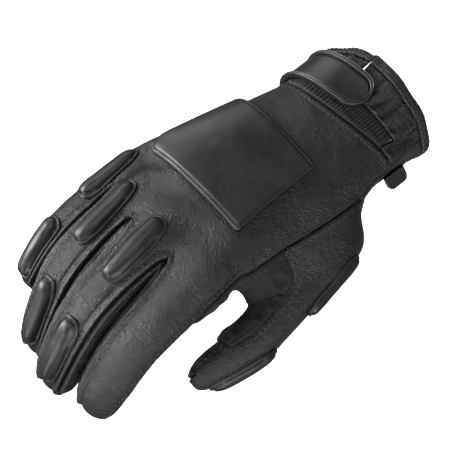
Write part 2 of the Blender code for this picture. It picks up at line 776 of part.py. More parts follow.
def evenly(points, count):
    """count places at equal steps along the line through the points."""
    steps = np.array([0.0] + [(b - a).length for a, b in zip(points, points[1:])]).cumsum()
    wanted = np.linspace(0.0, steps[-1], count)
    rows = np.array([tuple(p) for p in points])
    return [Vector([float(np.interp(t, steps, rows[:, k])) for k in range(3)]) for t in wanted]


def back_pad(tree, material):
    """The large flat pad over the back of the hand, which wraps round to the little finger's side."""
    rows, columns = 7, 9
    seats, ways, thick = [], [], []
    for r in range(rows):
        share = r / (rows - 1)
        near, far = BACK_PAD
        y = WRIST_Y - lerp(near["along"], far["along"], share) * HAND_LENGTH
        side_a = lerp(near["thumb_side"], far["thumb_side"], share)
        side_b = lerp(near["little_side"], far["little_side"], share)
        fine = [wall(tree, y, angle)[0] for angle in np.linspace(side_a, side_b, 40)]
        seats.append(evenly(fine, columns))
        ways.append([(tree.find_nearest(p)[1] + (p - hand_axis(y)).normalized()).normalized() for p in seats[-1]])
        edge = r in (0, rows - 1)
        thick.append([
            (0.7 if edge or c in (0, columns - 1) else 1.0) * BACK_PAD_HEIGHT
            for c in range(columns)
        ])
    return pad_block("back_pad", tree, seats, ways, thick, material)


PLEAT_STEPS = 4


def wrist_elastic(surface, material):
    """The gathered band across the back of the wrist: narrow pleats that run along the hand."""
    points, normals, faces, marks = surface
    chosen = [f for f, mark in zip(faces, marks) if PANELS[mark % PATCH_FLAG] == "wrist_elastic"]
    drawn = trimmed(points, normals, chosen, SEAM_GAP)

    def turn(i):
        return math.atan2(drawn[i].z, drawn[i].x - hand_axis(drawn[i].y).x)

    ordered = sorted(drawn, key=turn)
    columns = [
        sorted(ordered[n:n + 3], key=lambda i: drawn[i].y) for n in range(0, len(ordered), 3)
    ]
    low, high = [[], [], []], [[], [], []]
    for near, far in zip(columns, columns[1:] + [None]):
        steps = 1 if far is None else PLEAT_STEPS
        for step in range(steps):
            raised = GATHER_DEPTH / 2 if step % 2 == 0 else -GATHER_DEPTH / 2
            for r in range(3):
                other = near if far is None else far
                point = drawn[near[r]].lerp(drawn[other[r]], step / steps)
                normal = normals[near[r]].lerp(normals[other[r]], step / steps)
                low[r].append(point + normal * (raised - ELASTIC_THICKNESS))
                high[r].append(point + normal * raised)
    return block("wrist_elastic", low, high, material)


def ruffled(surface):
    """The surface with the cuff's folds, which start at the elastic and open towards the mouth."""
    points, normals, faces, marks = surface
    folded = []
    for point, normal in zip(points, normals):
        grown = float(smooth_step((point.y + CUFF_LENGTH - ELASTIC_LENGTH) / (CUFF_LENGTH - ELASTIC_LENGTH)))
        angle = math.atan2(point.z, point.x)
        wave = math.cos(angle * RUFFLES + 0.7) + 0.5 * math.cos(angle * 5 - 1.2)
        folded.append(point + normal * (RUFFLE_DEPTH * 0.5 * grown * wave))
    return folded, normals, faces, marks


def strap_seat(tree, u, v):
    """Where the strap sits u along it and v across it, and the way out from the cuff there."""
    skew = math.radians(STRAP_SKEW)
    radius = (MOUTH_WIDTH + MOUTH_DEPTH) / 4
    angle = STRAP_ROOT_ANGLE - math.degrees((u * math.cos(skew) - v * math.sin(skew)) / radius)
    point, way = wall(tree, STRAP_ROOT_Y + u * math.sin(skew) + v * math.cos(skew), angle)
    return point + way * STRAP_GAP, way


def strap_block(name, tree, folds, places, rise, thickness, material):
    """A strip of the strap through rows of (u, v) places, kept clear of the cuff's folds."""
    seats = [[strap_seat(tree, u, v) for u, v in row] for row in places]
    ways = [[way for _, way in row] for row in seats]
    low = cleared(folds, [[point for point, _ in row] for row in seats], ways, STRAP_GAP)
    low = [[p + way * rise for p, way in zip(*rows)] for rows in zip(low, ways)]
    high = [[p + way * thickness for p, way in zip(*rows)] for rows in zip(low, ways)]
    return block(name, low, high, material)


def strap_half_width(u, half_width):
    """Half the strap's width at u: its free end is round."""
    left = STRAP_LENGTH - u
    if left >= half_width:
        return half_width
    return math.sqrt(max(0.0, half_width**2 - (half_width - left) ** 2))


def strap_stations(half_width):
    straight = [STRAP_LENGTH * share for share in (0.0, 0.12, 0.24, 0.36, 0.48, 0.60, 0.72)]
    turn = [STRAP_LENGTH - half_width * (1 - math.sin(math.radians(a))) for a in (0, 25, 48, 68, 82)]
    return straight + turn


def wrist_strap(tree, folds, material):
    half = STRAP_WIDTH / 2
    inside = (half - BINDING_WIDTH - SEAM_GAP) / half
    places = []
    for u in strap_stations(half):
        width = strap_half_width(u, half) * inside
        shift = u - (BINDING_WIDTH + SEAM_GAP) * u / STRAP_LENGTH
        places.append([(shift, v * width) for v in (-1, -0.5, 0, 0.5, 1)])
    return strap_block("wrist_strap", tree, folds, places, 0.0, STRAP_LEATHER, material)


def strap_binding(tree, folds, material):
    """The folded edging that runs up one side of the strap, round its end and back."""
    outer = STRAP_WIDTH / 2
    inner = outer - BINDING_WIDTH
    centre = STRAP_LENGTH - outer
    straight = [centre * n / 9 for n in range(9)]
    places = [[(u, -inner), (u, -outer)] for u in straight]
    for angle in range(-90, 91, 20):
        turn = math.radians(angle)
        places.append([
            (centre + radius * math.cos(turn), radius * math.sin(turn))
            for radius in (inner, outer)
        ])
    places += [[(u, inner), (u, outer)] for u in reversed(straight)]
    return strap_block("strap_binding", tree, folds, places, 0.0, BINDING_HEIGHT, material)


def pull_tab(folds, material):
    """The short tab that stands out from the cuff on the thumb side, with its free corners rounded."""
    low, high = [], []
    for r in range(4):
        low.append([])
        high.append([])
        for c in range(4):
            u, v = r / 3, 2 * c / 3 - 1
            corner = 0.14 if r == 3 and abs(v) == 1 else 0.0
            y = TAB_Y + v * (1 - corner) * TAB_WIDTH / 2
            point, way = wall(folds, y, TAB_ANGLE)
            root = point + way * (TAB_LEATHER / 2 + TAB_GAP)
            spot = root + TAB_WAY * (u * (1 - corner) * TAB_LENGTH)
            low[-1].append(spot - TAB_FACE * TAB_LEATHER / 2)
            high[-1].append(spot + TAB_FACE * TAB_LEATHER / 2)
    return block("pull_tab", low, high, material)


def main():
    for old in list(bpy.data.objects):
        bpy.data.objects.remove(old)
    hide = leather("grained_hide", HIDE)
    smooth = leather("smooth_hide", SMOOTH_HIDE)
    suede = leather("suede", SUEDE)
    woven = leather("elastic", ELASTIC)

    cage, lines, thumb = glove_cage()
    plain = subdivided(cage)
    surface = ruffled(plain)
    tree = BVHTree.FromPolygons(plain[0], plain[2])
    for number, name in enumerate(PANELS):
        if name in OPEN_PANELS:
            continue
        extra = (HEM_LEATHER - LEATHER) / 2 if name == "cuff_hem" else 0.0
        shell(
            name, surface, lambda mark, n=number: mark % PATCH_FLAG == n,
            -LEATHER - extra, extra, hide,
        )
    shell(
        "palm_patch", surface, lambda mark: mark >= PATCH_FLAG,
        PATCH_GAP, PATCH_GAP + PATCH_LEATHER, suede,
    )
    names = column(FINGERS, "name")
    for pad in FINGER_PADS:
        k = names.index(pad["finger"])
        line_pad(pad, lines[k], PAD_WIDTH / 2, PAD_HEIGHT, FINGER_DEPTH, tree, smooth)
    for pad in THUMB_PADS:
        line_pad(pad, thumb, PAD_WIDTH / 2, THUMB_PAD_HEIGHT, 1.4 * THUMB_DEPTH, tree, smooth)
    back_pad(tree, smooth)
    wrist_elastic(surface, woven)
    folds = BVHTree.FromPolygons(surface[0], surface[2])
    wrist_strap(tree, folds, smooth)
    strap_binding(tree, folds, smooth)
    pull_tab(folds, hide)


main()
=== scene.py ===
import functools
import math

import bpy
import numpy as np
from mathutils import Matrix, Vector, noise
from mathutils.bvhtree import BVHTree


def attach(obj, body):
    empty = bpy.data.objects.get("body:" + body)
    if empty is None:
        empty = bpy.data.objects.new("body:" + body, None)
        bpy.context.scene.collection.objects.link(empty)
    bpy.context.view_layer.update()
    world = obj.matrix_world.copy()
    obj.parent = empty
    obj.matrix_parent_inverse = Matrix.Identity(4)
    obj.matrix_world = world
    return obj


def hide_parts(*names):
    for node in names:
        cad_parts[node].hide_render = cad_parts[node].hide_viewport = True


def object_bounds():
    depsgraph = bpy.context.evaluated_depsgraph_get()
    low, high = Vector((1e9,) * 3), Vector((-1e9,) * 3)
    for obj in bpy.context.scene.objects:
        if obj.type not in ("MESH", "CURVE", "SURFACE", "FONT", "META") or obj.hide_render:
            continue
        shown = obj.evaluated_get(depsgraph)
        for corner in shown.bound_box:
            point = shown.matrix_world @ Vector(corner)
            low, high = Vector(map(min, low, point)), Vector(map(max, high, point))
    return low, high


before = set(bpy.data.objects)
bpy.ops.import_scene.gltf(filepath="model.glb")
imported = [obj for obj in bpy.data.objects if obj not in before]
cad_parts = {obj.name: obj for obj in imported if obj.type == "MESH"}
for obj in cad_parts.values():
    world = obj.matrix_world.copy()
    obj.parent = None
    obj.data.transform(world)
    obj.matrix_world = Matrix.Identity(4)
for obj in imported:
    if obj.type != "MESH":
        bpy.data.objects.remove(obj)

bl_info = {
    "name": "Leather rappel glove",
    "version": (1, 0, 0),
    "blender": (4, 5, 0),
    "location": "View3D > Sidebar > Glove",
    "description": "Sews a padded leather rappel glove over its frame",
    "category": "Object",
}

for startup in ("Cube", "Light", "Camera"):
    if startup in bpy.data.objects:
        bpy.data.objects.remove(bpy.data.objects[startup])

MM = 0.001


def lerp(a, b, share):
    return a + (b - a) * share


# Leather and clearances
LEATHER = 1.5 * MM
PATCH_LEATHER = 1.4 * MM
SEAM_GAP = 0.3 * MM
PATCH_GAP = 0.35 * MM
SEAT_GAP = 0.6 * MM

# Hand and cuff
CUFF_LENGTH = 30 * MM
HAND_LENGTH = 106 * MM
MOUTH_WIDTH = 80 * MM
MOUTH_DEPTH = 61 * MM
WRIST_WIDTH = 78 * MM
WRIST_DEPTH = 45 * MM
THUMB_SIDE_RISE = 14 * MM
THUMB_SIDE_ANGLE = 35
RISE_FADE = 0.30
PALM_DEPTH = 36 * MM
WRIST_SHIFT = -1 * MM
KNUCKLE_SHIFT = -14.5 * MM
KNUCKLE_RISE = 13 * MM

# Fingers and thumb
FINGER_WIDTH = 27 * MM
FINGER_DEPTH = 26 * MM
FINGER_GAP = 1 * MM
INDEX_LENGTH = 98 * MM
MIDDLE_LENGTH = 109 * MM
RING_LENGTH = 105 * MM
LITTLE_LENGTH = 87 * MM
THUMB_LENGTH = 124 * MM
THUMB_WIDTH = 26 * MM
THUMB_DEPTH = 26 * MM

# Pads
PAD_WIDTH = 12.5 * MM
PAD_HEIGHT = 4 * MM
THUMB_PAD_HEIGHT = 3 * MM
BACK_PAD_HEIGHT = 3.4 * MM

# Cuff, elastic and strap
ELASTIC_LENGTH = 16 * MM
ELASTIC_THICKNESS = 1.8 * MM
RUFFLE_DEPTH = 1.6 * MM
HEM_HEIGHT = 4 * MM
HEM_LEATHER = 2.6 * MM
STRAP_WIDTH = 21 * MM
STRAP_LEATHER = 2 * MM
STRAP_GAP = 1.2 * MM
BINDING_WIDTH = 2.4 * MM
BINDING_HEIGHT = 3.2 * MM
TAB_LENGTH = 9 * MM
TAB_WIDTH = 14 * MM
TAB_LEATHER = 2.4 * MM
TAB_GAP = -0.3 * MM

PITCH = FINGER_WIDTH + FINGER_GAP
KNUCKLE_WIDTH = 3.42 * PITCH
WRIST_Y = -CUFF_LENGTH
KNUCKLE_Y = WRIST_Y - HAND_LENGTH

# Rings of the hand, from the wrist to the thumb's fork. "along" is the share of the hand's length,
# "form" runs from the wrist's section at 0 to the knuckles' section at 1, and "swell" widens the thumb
# side. "roll" lowers the thumb side and "seam" places the side seam there, both in degrees. "skew"
# moves the thumb side on towards the fingers.
HAND_RINGS = (
    {"along": 0.00, "form": 0.00, "swell": 1.00, "roll": 13, "seam": 32, "skew": 0.00},
    {"along": 0.175, "form": 0.20, "swell": 1.10, "roll": 12, "seam": 31, "skew": 0.00},
    {"along": 0.40, "form": 0.46, "swell": 1.06, "roll": 9, "seam": 26, "skew": 0.00},
    {"along": 0.61, "form": 0.75, "swell": 1.00, "roll": 5, "seam": 18, "skew": -0.04},
    {"along": 0.785, "form": 1.00, "swell": 1.00, "roll": 2, "seam": 12, "skew": -0.12},
)

ELASTIC_SHARE = ELASTIC_LENGTH / CUFF_LENGTH
HEM_SHARE = HEM_HEIGHT / CUFF_LENGTH

# Rings of the cuff, from the mouth to the wrist. "form" runs from the wrist's section to the mouth's,
# "tilt" and "turn" lean the ring, so that the cuff is longer over the back and on the thumb side, and
# "vent" is half the angle of the column that stays open at the back of the cuff, all in degrees.
CUFF_RINGS = (
    {"along": 1.00, "form": 1.00, "roll": 28, "tilt": 18, "turn": 8, "vent": 1.9},
    {"along": 1.00 - HEM_SHARE, "form": 0.94, "roll": 27, "tilt": 17, "turn": 7, "vent": 1.8},
    {"along": lerp(ELASTIC_SHARE, 1.0, 0.45), "form": 0.55, "roll": 20, "tilt": 8, "turn": 4, "vent": 1.7},
    {"along": ELASTIC_SHARE, "form": 0.20, "roll": 15, "tilt": 3, "turn": 1, "vent": 1.6},
    {"along": 0.00, "form": 0.00, "roll": 13, "tilt": 0, "turn": 0, "vent": 6.0},
)
VENT_PLACES = ("T5", "T6")
VENT_ANGLE = 117
ELASTIC_PLACES = ("T1", "T2", "T3", "T4", "T5", "T6", "T7")

# Places round the hand's section, in degrees from the thumb side over the back: S and U are the two
# side seams, T runs over the back and B back under the palm.
SECTION_ANGLES = {
    "S": 12, "T0": 36, "T1": 54, "T2": 68, "T3": 80, "T4": 91, "T5": 102, "T6": 114, "T7": 129,
    "T8": 150, "U": 180, "B8": 212, "B7": 232, "B6": 248, "B5": 260, "B4": 270, "B3": 280,
    "B2": 292, "B1": 308, "B0": 334,
}
SECTION_ORDER = tuple(SECTION_ANGLES)

# Fingers, each from its knuckle. "across", "back" and "up" place the knuckle from the middle one's,
# as shares of the finger pitch. Bends, splay and roll are in degrees.
FINGERS = (
    {"name": "index", "length": INDEX_LENGTH, "width": 1.05, "across": 1.06, "back": 0.00, "up": -0.27,
     "knuckle_bend": 12, "middle_bend": 28, "tip_bend": 16, "splay": -1, "roll": -1},
    {"name": "middle", "length": MIDDLE_LENGTH, "width": 1.00, "across": 0.00, "back": 0.00, "up": 0.00,
     "knuckle_bend": 13, "middle_bend": 30, "tip_bend": 17, "splay": -2, "roll": -4},
    {"name": "ring", "length": RING_LENGTH, "width": 0.97, "across": -0.965, "back": 0.17, "up": -0.15,
     "knuckle_bend": 13, "middle_bend": 29, "tip_bend": 16, "splay": -1, "roll": -14},
    {"name": "little", "length": LITTLE_LENGTH, "width": 0.90, "across": -1.60, "back": 0.69, "up": -0.68,
     "knuckle_bend": 5, "middle_bend": 17, "tip_bend": 20, "splay": 5, "roll": -26},
)
MIDDLE_JOINT = 0.475
TIP_JOINT = 0.77
BEND_SPREAD = 0.085

# Sections of a finger. "along" is the share of its length and "size" the share of its width.
FINGER_SECTIONS = (
    {"along": 0.36, "size": 0.98},
    {"along": 0.50, "size": 0.96},
    {"along": 0.66, "size": 0.92},
    {"along": 0.82, "size": 0.87},
    {"along": 0.955, "size": 0.68},
)

# The eight seam and centre lines round a finger, as shares of its half width and half depth.
FINGER_OUTLINE = (
    (0.96, 0.62), (0.00, 1.08), (-0.96, 0.62), (-1.04, 0.00),
    (-0.92, -0.62), (0.00, -1.05), (0.92, -0.62), (1.04, 0.00),
)

# Stations of the fork where a finger leaves the hand, as shares of the finger's length.
FORK = {"back": 0.02, "side": 0.14, "palm": 0.24}

# Thumb line: start from the wrist's centre as shares of the hand's length, angles in degrees.
THUMB_START = {"across": 0.308, "along": 0.217, "down": 0.113}
THUMB_SPLAY = -22
THUMB_PITCH = 12
THUMB_ROLL = 100
THUMB_JOINTS = ({"along": 0.30, "bend": 15}, {"along": 0.64, "bend": 18})

# Sections of the thumb. "slant" moves the ball side on from the outer side, as a share of its
# length. "outer", "inner" and "width" are shares of its half depth and half width.
THUMB_SECTIONS = (
    {"along": 0.29, "slant": 0.255, "outer": 1.60, "inner": 1.05, "width": 1.06},
    {"along": 0.43, "slant": 0.175, "outer": 1.00, "inner": 1.05, "width": 1.06},
    {"along": 0.54, "slant": 0.120, "outer": 0.80, "inner": 1.00, "width": 1.04},
    {"along": 0.645, "slant": 0.075, "outer": 0.80, "inner": 0.98, "width": 1.02},
    {"along": 0.76, "slant": 0.030, "outer": 0.82, "inner": 0.94, "width": 0.98},
    {"along": 0.88, "slant": 0.005, "outer": 0.74, "inner": 0.84, "width": 0.88},
    {"along": 0.96, "slant": 0.000, "outer": 0.52, "inner": 0.58, "width": 0.62},
)

# The ten lines round the thumb, as shares of its half depth (outwards) and half width (upwards).
THUMB_OUTLINE = (
    (0.78, 0.84), (0.28, 1.06), (-0.28, 1.06), (-0.80, 0.80), (-1.06, 0.00),
    (-0.80, -0.80), (-0.28, -1.06), (0.28, -1.06), (0.78, -0.84), (1.08, 0.00),
)

# Raised pads on the fingers, from and to as shares of the finger's length, "side" in degrees round it.
FINGER_PADS = (
    {"name": "knuckle_pad_middle", "finger": "middle", "start": -0.03, "end": 0.35, "side": 0},
    {"name": "knuckle_pad_ring", "finger": "ring", "start": -0.03, "end": 0.37, "side": 0},
    {"name": "knuckle_pad_little", "finger": "little", "start": -0.06, "end": 0.38, "side": 0},
    {"name": "finger_pad_middle", "finger": "middle", "start": 0.53, "end": 0.88, "side": 0},
    {"name": "finger_pad_ring", "finger": "ring", "start": 0.53, "end": 0.89, "side": 0},
    {"name": "finger_pad_little", "finger": "little", "start": 0.53, "end": 0.92, "side": 0},
)
THUMB_PADS = (
    {"name": "thumb_pad_joint", "start": 0.13, "end": 0.43, "side": 14},
    {"name": "thumb_pad_tip", "start": 0.62, "end": 0.93, "side": 10},
)

# The large pad on the back: its two ends along the hand, and its sides in degrees round the hand's axis.
BACK_PAD = (
    {"along": 0.238, "thumb_side": 43, "little_side": 158},
    {"along": 0.760, "thumb_side": 29, "little_side": 160},
)

# The strap runs from its sewn root, at an angle round the cuff's axis, over the vent to its free end.
STRAP_ROOT_ANGLE = 186
STRAP_SKEW = 7
STRAP_LENGTH = 68 * MM
STRAP_ROOT_Y = -19 * MM
TAB_ANGLE = -14
TAB_Y = -16 * MM
TAB_WAY = Vector((0.60, 0.0, -0.80))
TAB_FACE = Vector((0.80, 0.0, 0.60))
RUFFLES = 9

PANELS = (
    "back_panel", "palm_panel", "fourchette_index_middle", "fourchette_middle_ring",
    "fourchette_ring_little", "thumb_back", "thumb_front", "cuff", "cuff_hem", "wrist_elastic",
    "vent",
)
OPEN_PANELS = ("wrist_elastic", "vent")
PATCH_FLAG = 16


def smooth_step(t):
    t = np.clip(t, 0.0, 1.0)
    return t * t * (3.0 - 2.0 * t)


def thumb_side_rise(angle):
    """How far the wrist's seam climbs towards the mouth at this angle."""
    return THUMB_SIDE_RISE * max(0.0, math.cos(math.radians(angle - THUMB_SIDE_ANGLE))) ** 2


def section_point(centre, half_width, back, palm, roll, skew, angle, power):
    """A point of a rounded section that stands across the hand, rolled about the hand's length."""
    c, s = math.cos(math.radians(angle)), math.sin(math.radians(angle))
    x = half_width * math.copysign(abs(c) ** (2 / power), c)
    z = (back if s > 0 else palm) * math.copysign(abs(s) ** (2 / power), s)
    r = math.radians(roll)
    across = x * math.cos(r) + z * math.sin(r)
    up = z * math.cos(r) - x * math.sin(r)
    return Vector((centre.x + across, centre.y + skew * across, centre.z + up))


def hand_point(ring, angle):
    form = ring["form"]
    centre = Vector((
        lerp(WRIST_SHIFT, KNUCKLE_SHIFT - 0.11 * PITCH, form),
        WRIST_Y - ring["along"] * HAND_LENGTH,
        lerp(0.06 * WRIST_DEPTH, 0.42 * KNUCKLE_RISE, form),
    ))
    half_width = lerp(WRIST_WIDTH, KNUCKLE_WIDTH, form) / 2
    if math.cos(math.radians(angle)) > 0:
        half_width *= ring["swell"]
    half_depth = lerp(WRIST_DEPTH, PALM_DEPTH, form) / 2
    point = section_point(
        centre, half_width, 1.04 * half_depth, 0.98 * half_depth,
        ring["roll"], ring["skew"], angle, lerp(2.2, 2.6, form),
    )
    point.y += thumb_side_rise(angle) * max(0.0, 1 - ring["along"] / RISE_FADE)
    return point


def cuff_point(ring, angle):
    form = ring["form"]
    centre = Vector((
        lerp(WRIST_SHIFT, 0.0, form),
        WRIST_Y + ring["along"] * CUFF_LENGTH,
        lerp(0.06 * WRIST_DEPTH, 0.0, form),
    ))
    half_width = lerp(WRIST_WIDTH, MOUTH_WIDTH, form) / 2
    half_depth = lerp(WRIST_DEPTH, MOUTH_DEPTH, form) / 2
    point = section_point(
        centre, half_width, half_depth, half_depth, ring["roll"], 0.0, angle, 2.2
    )
    point.y += thumb_side_rise(angle) * max(0.0, 1 - ring["along"] / ELASTIC_SHARE)
    point.y += (point.z - centre.z) * math.tan(math.radians(ring["tilt"]))
    point.y += (point.x - centre.x) * math.tan(math.radians(ring["turn"]))
    return point


class Line:
    """A finger's centre line: a bending path whose frames give its back, its side and its way on."""

    def __init__(self, start, turn, length, joints, spread, lead=0.0):
        stations = np.linspace(-0.15, 1.05, 241)
        angle = np.full_like(stations, math.radians(lead))
        for joint in joints:
            step = smooth_step((stations - joint["along"] + spread) / (2 * spread))
            angle = angle + math.radians(joint["bend"]) * step
        rotation = np.array(turn)
        zero = np.zeros_like(stations)
        self.way = np.stack([zero, -np.cos(angle), -np.sin(angle)], 1) @ rotation.T
        self.back = np.stack([zero, -np.sin(angle), np.cos(angle)], 1) @ rotation.T
        self.side = rotation @ np.array([1.0, 0.0, 0.0])
        path = np.cumsum(self.way * (stations[1] - stations[0]) * length, axis=0)
        origin = [np.interp(0.0, stations, path[:, k]) for k in range(3)]
        self.path = path - origin + np.array(start)
        self.stations = stations

    def at(self, along, rows):
        return Vector([float(np.interp(along, self.stations, rows[:, k])) for k in range(3)])

    def point(self, along, across=0.0, up=0.0):
        """A place beside the line, across towards its side and up from its back, in metres."""
        back = self.at(along, self.back).normalized()
        return self.at(along, self.path) + Vector(self.side) * across + back * up


def finger_line(finger):
    start = Vector((
        KNUCKLE_SHIFT + finger["across"] * PITCH,
        KNUCKLE_Y + finger["back"] * PITCH,
        KNUCKLE_RISE + finger["up"] * PITCH,
    ))
    turn = Matrix.Rotation(math.radians(-finger["splay"]), 3, "Z") @ Matrix.Rotation(
        math.radians(finger["roll"]), 3, "Y"
    )
    joints = (
        {"along": 0.0, "bend": finger["knuckle_bend"]},
        {"along": MIDDLE_JOINT, "bend": finger["middle_bend"]},
        {"along": TIP_JOINT, "bend": finger["tip_bend"]},
    )
    return Line(start, turn, finger["length"], joints, BEND_SPREAD)


def thumb_line():
    start = Vector((
        THUMB_START["across"] * HAND_LENGTH,
        WRIST_Y - THUMB_START["along"] * HAND_LENGTH,
        -THUMB_START["down"] * HAND_LENGTH,
    ))
    turn = (
        Matrix.Rotation(math.radians(-THUMB_SPLAY), 3, "Z")
        @ Matrix.Rotation(math.radians(THUMB_PITCH), 3, "X")
        @ Matrix.Rotation(math.radians(THUMB_ROLL), 3, "Y")
    )
    return Line(start, turn, THUMB_LENGTH, THUMB_JOINTS, BEND_SPREAD)


class Cage:
    """The glove's quad cage: named points, and faces that know which panel they belong to."""

    def __init__(self):
        self.points = []
        self.index = {}
        self.faces = []
        self.marks = []

    def put(self, key, point):
        self.index[key] = len(self.points)
        self.points.append(tuple(point))

    def share(self, key, other):
        self.index[key] = self.index[other]

    def face(self, keys, panel, patched=False):
        self.faces.append([self.index[key] for key in keys])
        self.marks.append(PANELS.index(panel) + (PATCH_FLAG if patched else 0))


def finger_point(line, finger, along, place, size=1.0):
    across, up = FINGER_OUTLINE[place]
    half_width = finger["width"] * FINGER_WIDTH / 2 * size
    half_depth = finger["width"] * FINGER_DEPTH / 2 * size
    return line.point(along, across * half_width, up * half_depth)


def put_knuckles(cage, lines):
    """The ring over the knuckles, "K", and the forked ring where the fingers leave the hand, "F"."""
    for ring, stations in (
        ("K", {"back": -0.10, "side": -0.06, "palm": 0.03}),
        ("F", FORK),
    ):
        for k, finger in enumerate(FINGERS):
            line = lines[k]
            cage.put((ring, f"T{2 * k + 1}"), finger_point(line, finger, stations["back"], 1))
            cage.put((ring, f"B{2 * k + 1}"), finger_point(line, finger, stations["palm"], 5))
        first, last = FINGERS[0], FINGERS[-1]
        cage.put((ring, "T0"), finger_point(lines[0], first, stations["back"], 0))
        cage.put((ring, "S"), finger_point(lines[0], first, stations["back"], 7))
        cage.put((ring, "B0"), finger_point(lines[0], first, stations["palm"], 6))
        cage.put((ring, "T8"), finger_point(lines[3], last, stations["back"], 2))
        cage.put((ring, "U"), finger_point(lines[3], last, stations["back"], 3))
        cage.put((ring, "B8"), finger_point(lines[3], last, stations["palm"], 4))
        for k in range(3):
            near, far = FINGERS[k], FINGERS[k + 1]
            for name, station, place, other in (
                (f"T{2 * k + 2}", stations["back"], 2, 0),
                (f"B{2 * k + 2}", stations["palm"], 4, 6),
                (f"W{k + 1}", stations["side"], 3, 7),
            ):
                a = finger_point(lines[k], near, station, place)
                b = finger_point(lines[k + 1], far, station, other)
                cage.put((ring, name), (a + b) / 2)


def add_fingers(cage, lines):
    for k, finger in enumerate(FINGERS):
        name = finger["name"]
        sides = ("S" if k == 0 else f"W{k}", "U" if k == 3 else f"W{k + 1}")
        base = (
            f"T{2 * k}", f"T{2 * k + 1}", f"T{2 * k + 2}", sides[1],
            f"B{2 * k + 2}", f"B{2 * k + 1}", f"B{2 * k}", sides[0],
        )
        for place, key in enumerate(base):
            cage.share((name, 0, place), ("F", key))
        for row, section in enumerate(FINGER_SECTIONS, 1):
            for place in range(8):
                cage.put(
                    (name, row, place),
                    finger_point(lines[k], finger, section["along"], place, section["size"]),
                )
        near = "palm_panel" if k == 0 else fourchette(k - 1)
        far = "palm_panel" if k == 3 else fourchette(k)
        panels = (
            "back_panel", "back_panel", "back_panel" if k == 3 else far, far,
            "palm_panel", "palm_panel", near, "back_panel" if k == 0 else near,
        )
        rows = len(FINGER_SECTIONS)
        for row in range(rows):
            for place in range(8):
                nxt = (place + 1) % 8
                cage.face(
                    ((name, row, place), (name, row, nxt), (name, row + 1, nxt), (name, row + 1, place)),
                    panels[place],
                )
        tip = (name, "tip")
        cage.put(tip, lines[k].point(1.0, 0.0, -0.02 * finger["length"]))
        for a, b, c in ((0, 1, 7), (2, 3, 1), (4, 5, 3), (6, 7, 5)):
            corner, after, before = (name, rows, a), (name, rows, b), (name, rows, c)
            panel = "back_panel" if a in (0, 2) else "palm_panel"
            cage.face((before, corner, after, tip), panel)


def fourchette(gap):
    return ("fourchette_index_middle", "fourchette_middle_ring", "fourchette_ring_little")[gap]


THUMB_HOLE = (
    (1, "S"), (2, "S"), (3, "S"), (4, "S"), (4, "B0"),
    (4, "B1"), (3, "B1"), (2, "B1"), (1, "B1"), (1, "B0"),
)
THUMB_FRONT_PLACES = (3, 4, 5)
PATCHED_THUMB_PLACES = (2, 3, 4, 5)
PATCHED_THUMB_ROWS = 5


def thumb_point(line, section, place):
    outwards, upwards = THUMB_OUTLINE[place]
    along = section["along"] - section["slant"] * outwards
    depth = section["outer"] if outwards > 0 else section["inner"]
    return line.point(
        along,
        -upwards * section["width"] * THUMB_WIDTH / 2,
        outwards * depth * THUMB_DEPTH / 2,
    )


def add_thumb(cage, line):
    for place, key in enumerate(THUMB_HOLE):
        cage.share(("thumb", 0, place), key)
    rows = len(THUMB_SECTIONS)
    for row, section in enumerate(THUMB_SECTIONS, 1):
        for place in range(10):
            cage.put(("thumb", row, place), thumb_point(line, section, place))
    for row in range(rows):
        for place in range(10):
            nxt = (place + 1) % 10
            panel = "thumb_front" if place in THUMB_FRONT_PLACES else "thumb_back"
            patched = place in PATCHED_THUMB_PLACES and row < PATCHED_THUMB_ROWS
            cage.face(
                (
                    ("thumb", row, nxt), ("thumb", row, place),
                    ("thumb", row + 1, place), ("thumb", row + 1, nxt),
                )[::-1],
                panel, patched,
            )
    for key, across in (("tip_out", 0.28), ("tip_in", -0.28)):
        cage.put(("thumb", key), line.point(0.995, 0.0, across * THUMB_DEPTH / 2))
    ring = [("thumb", rows, place) for place in range(10)]
    out, ball = ("thumb", "tip_out"), ("thumb", "tip_in")
    for keys, panel in (
        ((ring[9], ring[0], ring[1], out), "thumb_back"),
        ((out, ring[1], ring[2], ball), "thumb_back"),
        ((ball, ring[2], ring[3], ring[4]), "thumb_front"),
        ((ring[8], ring[9], out, ring[7]), "thumb_back"),
        ((ring[7], out, ball, ring[6]), "thumb_back"),
        ((ring[6], ball, ring[4], ring[5]), "thumb_front"),
    ):
        cage.face(keys, panel)


PATCHED_PALM = {"B0", "B1", "B2", "B3", "B4", "B5"}


def section_angles(seam):
    """The section's angles, with the side seam on the thumb's side at this one."""
    angles = dict(SECTION_ANGLES)
    angles["S"] = seam
    angles["T0"] = (seam + angles["T1"]) / 2
    return angles


def cuff_angles(ring):
    """The section's angles, with the vent's two sides drawn together."""
    angles = section_angles(HAND_RINGS[0]["seam"])
    for name, side in zip(VENT_PLACES, (-1, 1)):
        angles[name] = VENT_ANGLE + side * ring["vent"]
    return angles


def add_cuff(cage):
    last = len(CUFF_RINGS) - 1
    for n, ring in enumerate(CUFF_RINGS[:-1]):
        for name, angle in cuff_angles(ring).items():
            cage.put(("cuff", n, name), cuff_point(ring, angle))
    for name in SECTION_ORDER:
        cage.share(("cuff", last, name), (0, name))
    for n in range(last):
        for place, name in enumerate(SECTION_ORDER):
            nxt = SECTION_ORDER[(place + 1) % len(SECTION_ORDER)]
            in_elastic = n == last - 1
            panel = "cuff_hem" if n == 0 else "cuff"
            if (name, nxt) == VENT_PLACES:
                panel = "vent"
            if in_elastic and name in ELASTIC_PLACES:
                panel = "wrist_elastic"
            a, b = ("cuff", n), ("cuff", n + 1)
            cage.face(((*a, name), (*a, nxt), (*b, nxt), (*b, name)), panel)


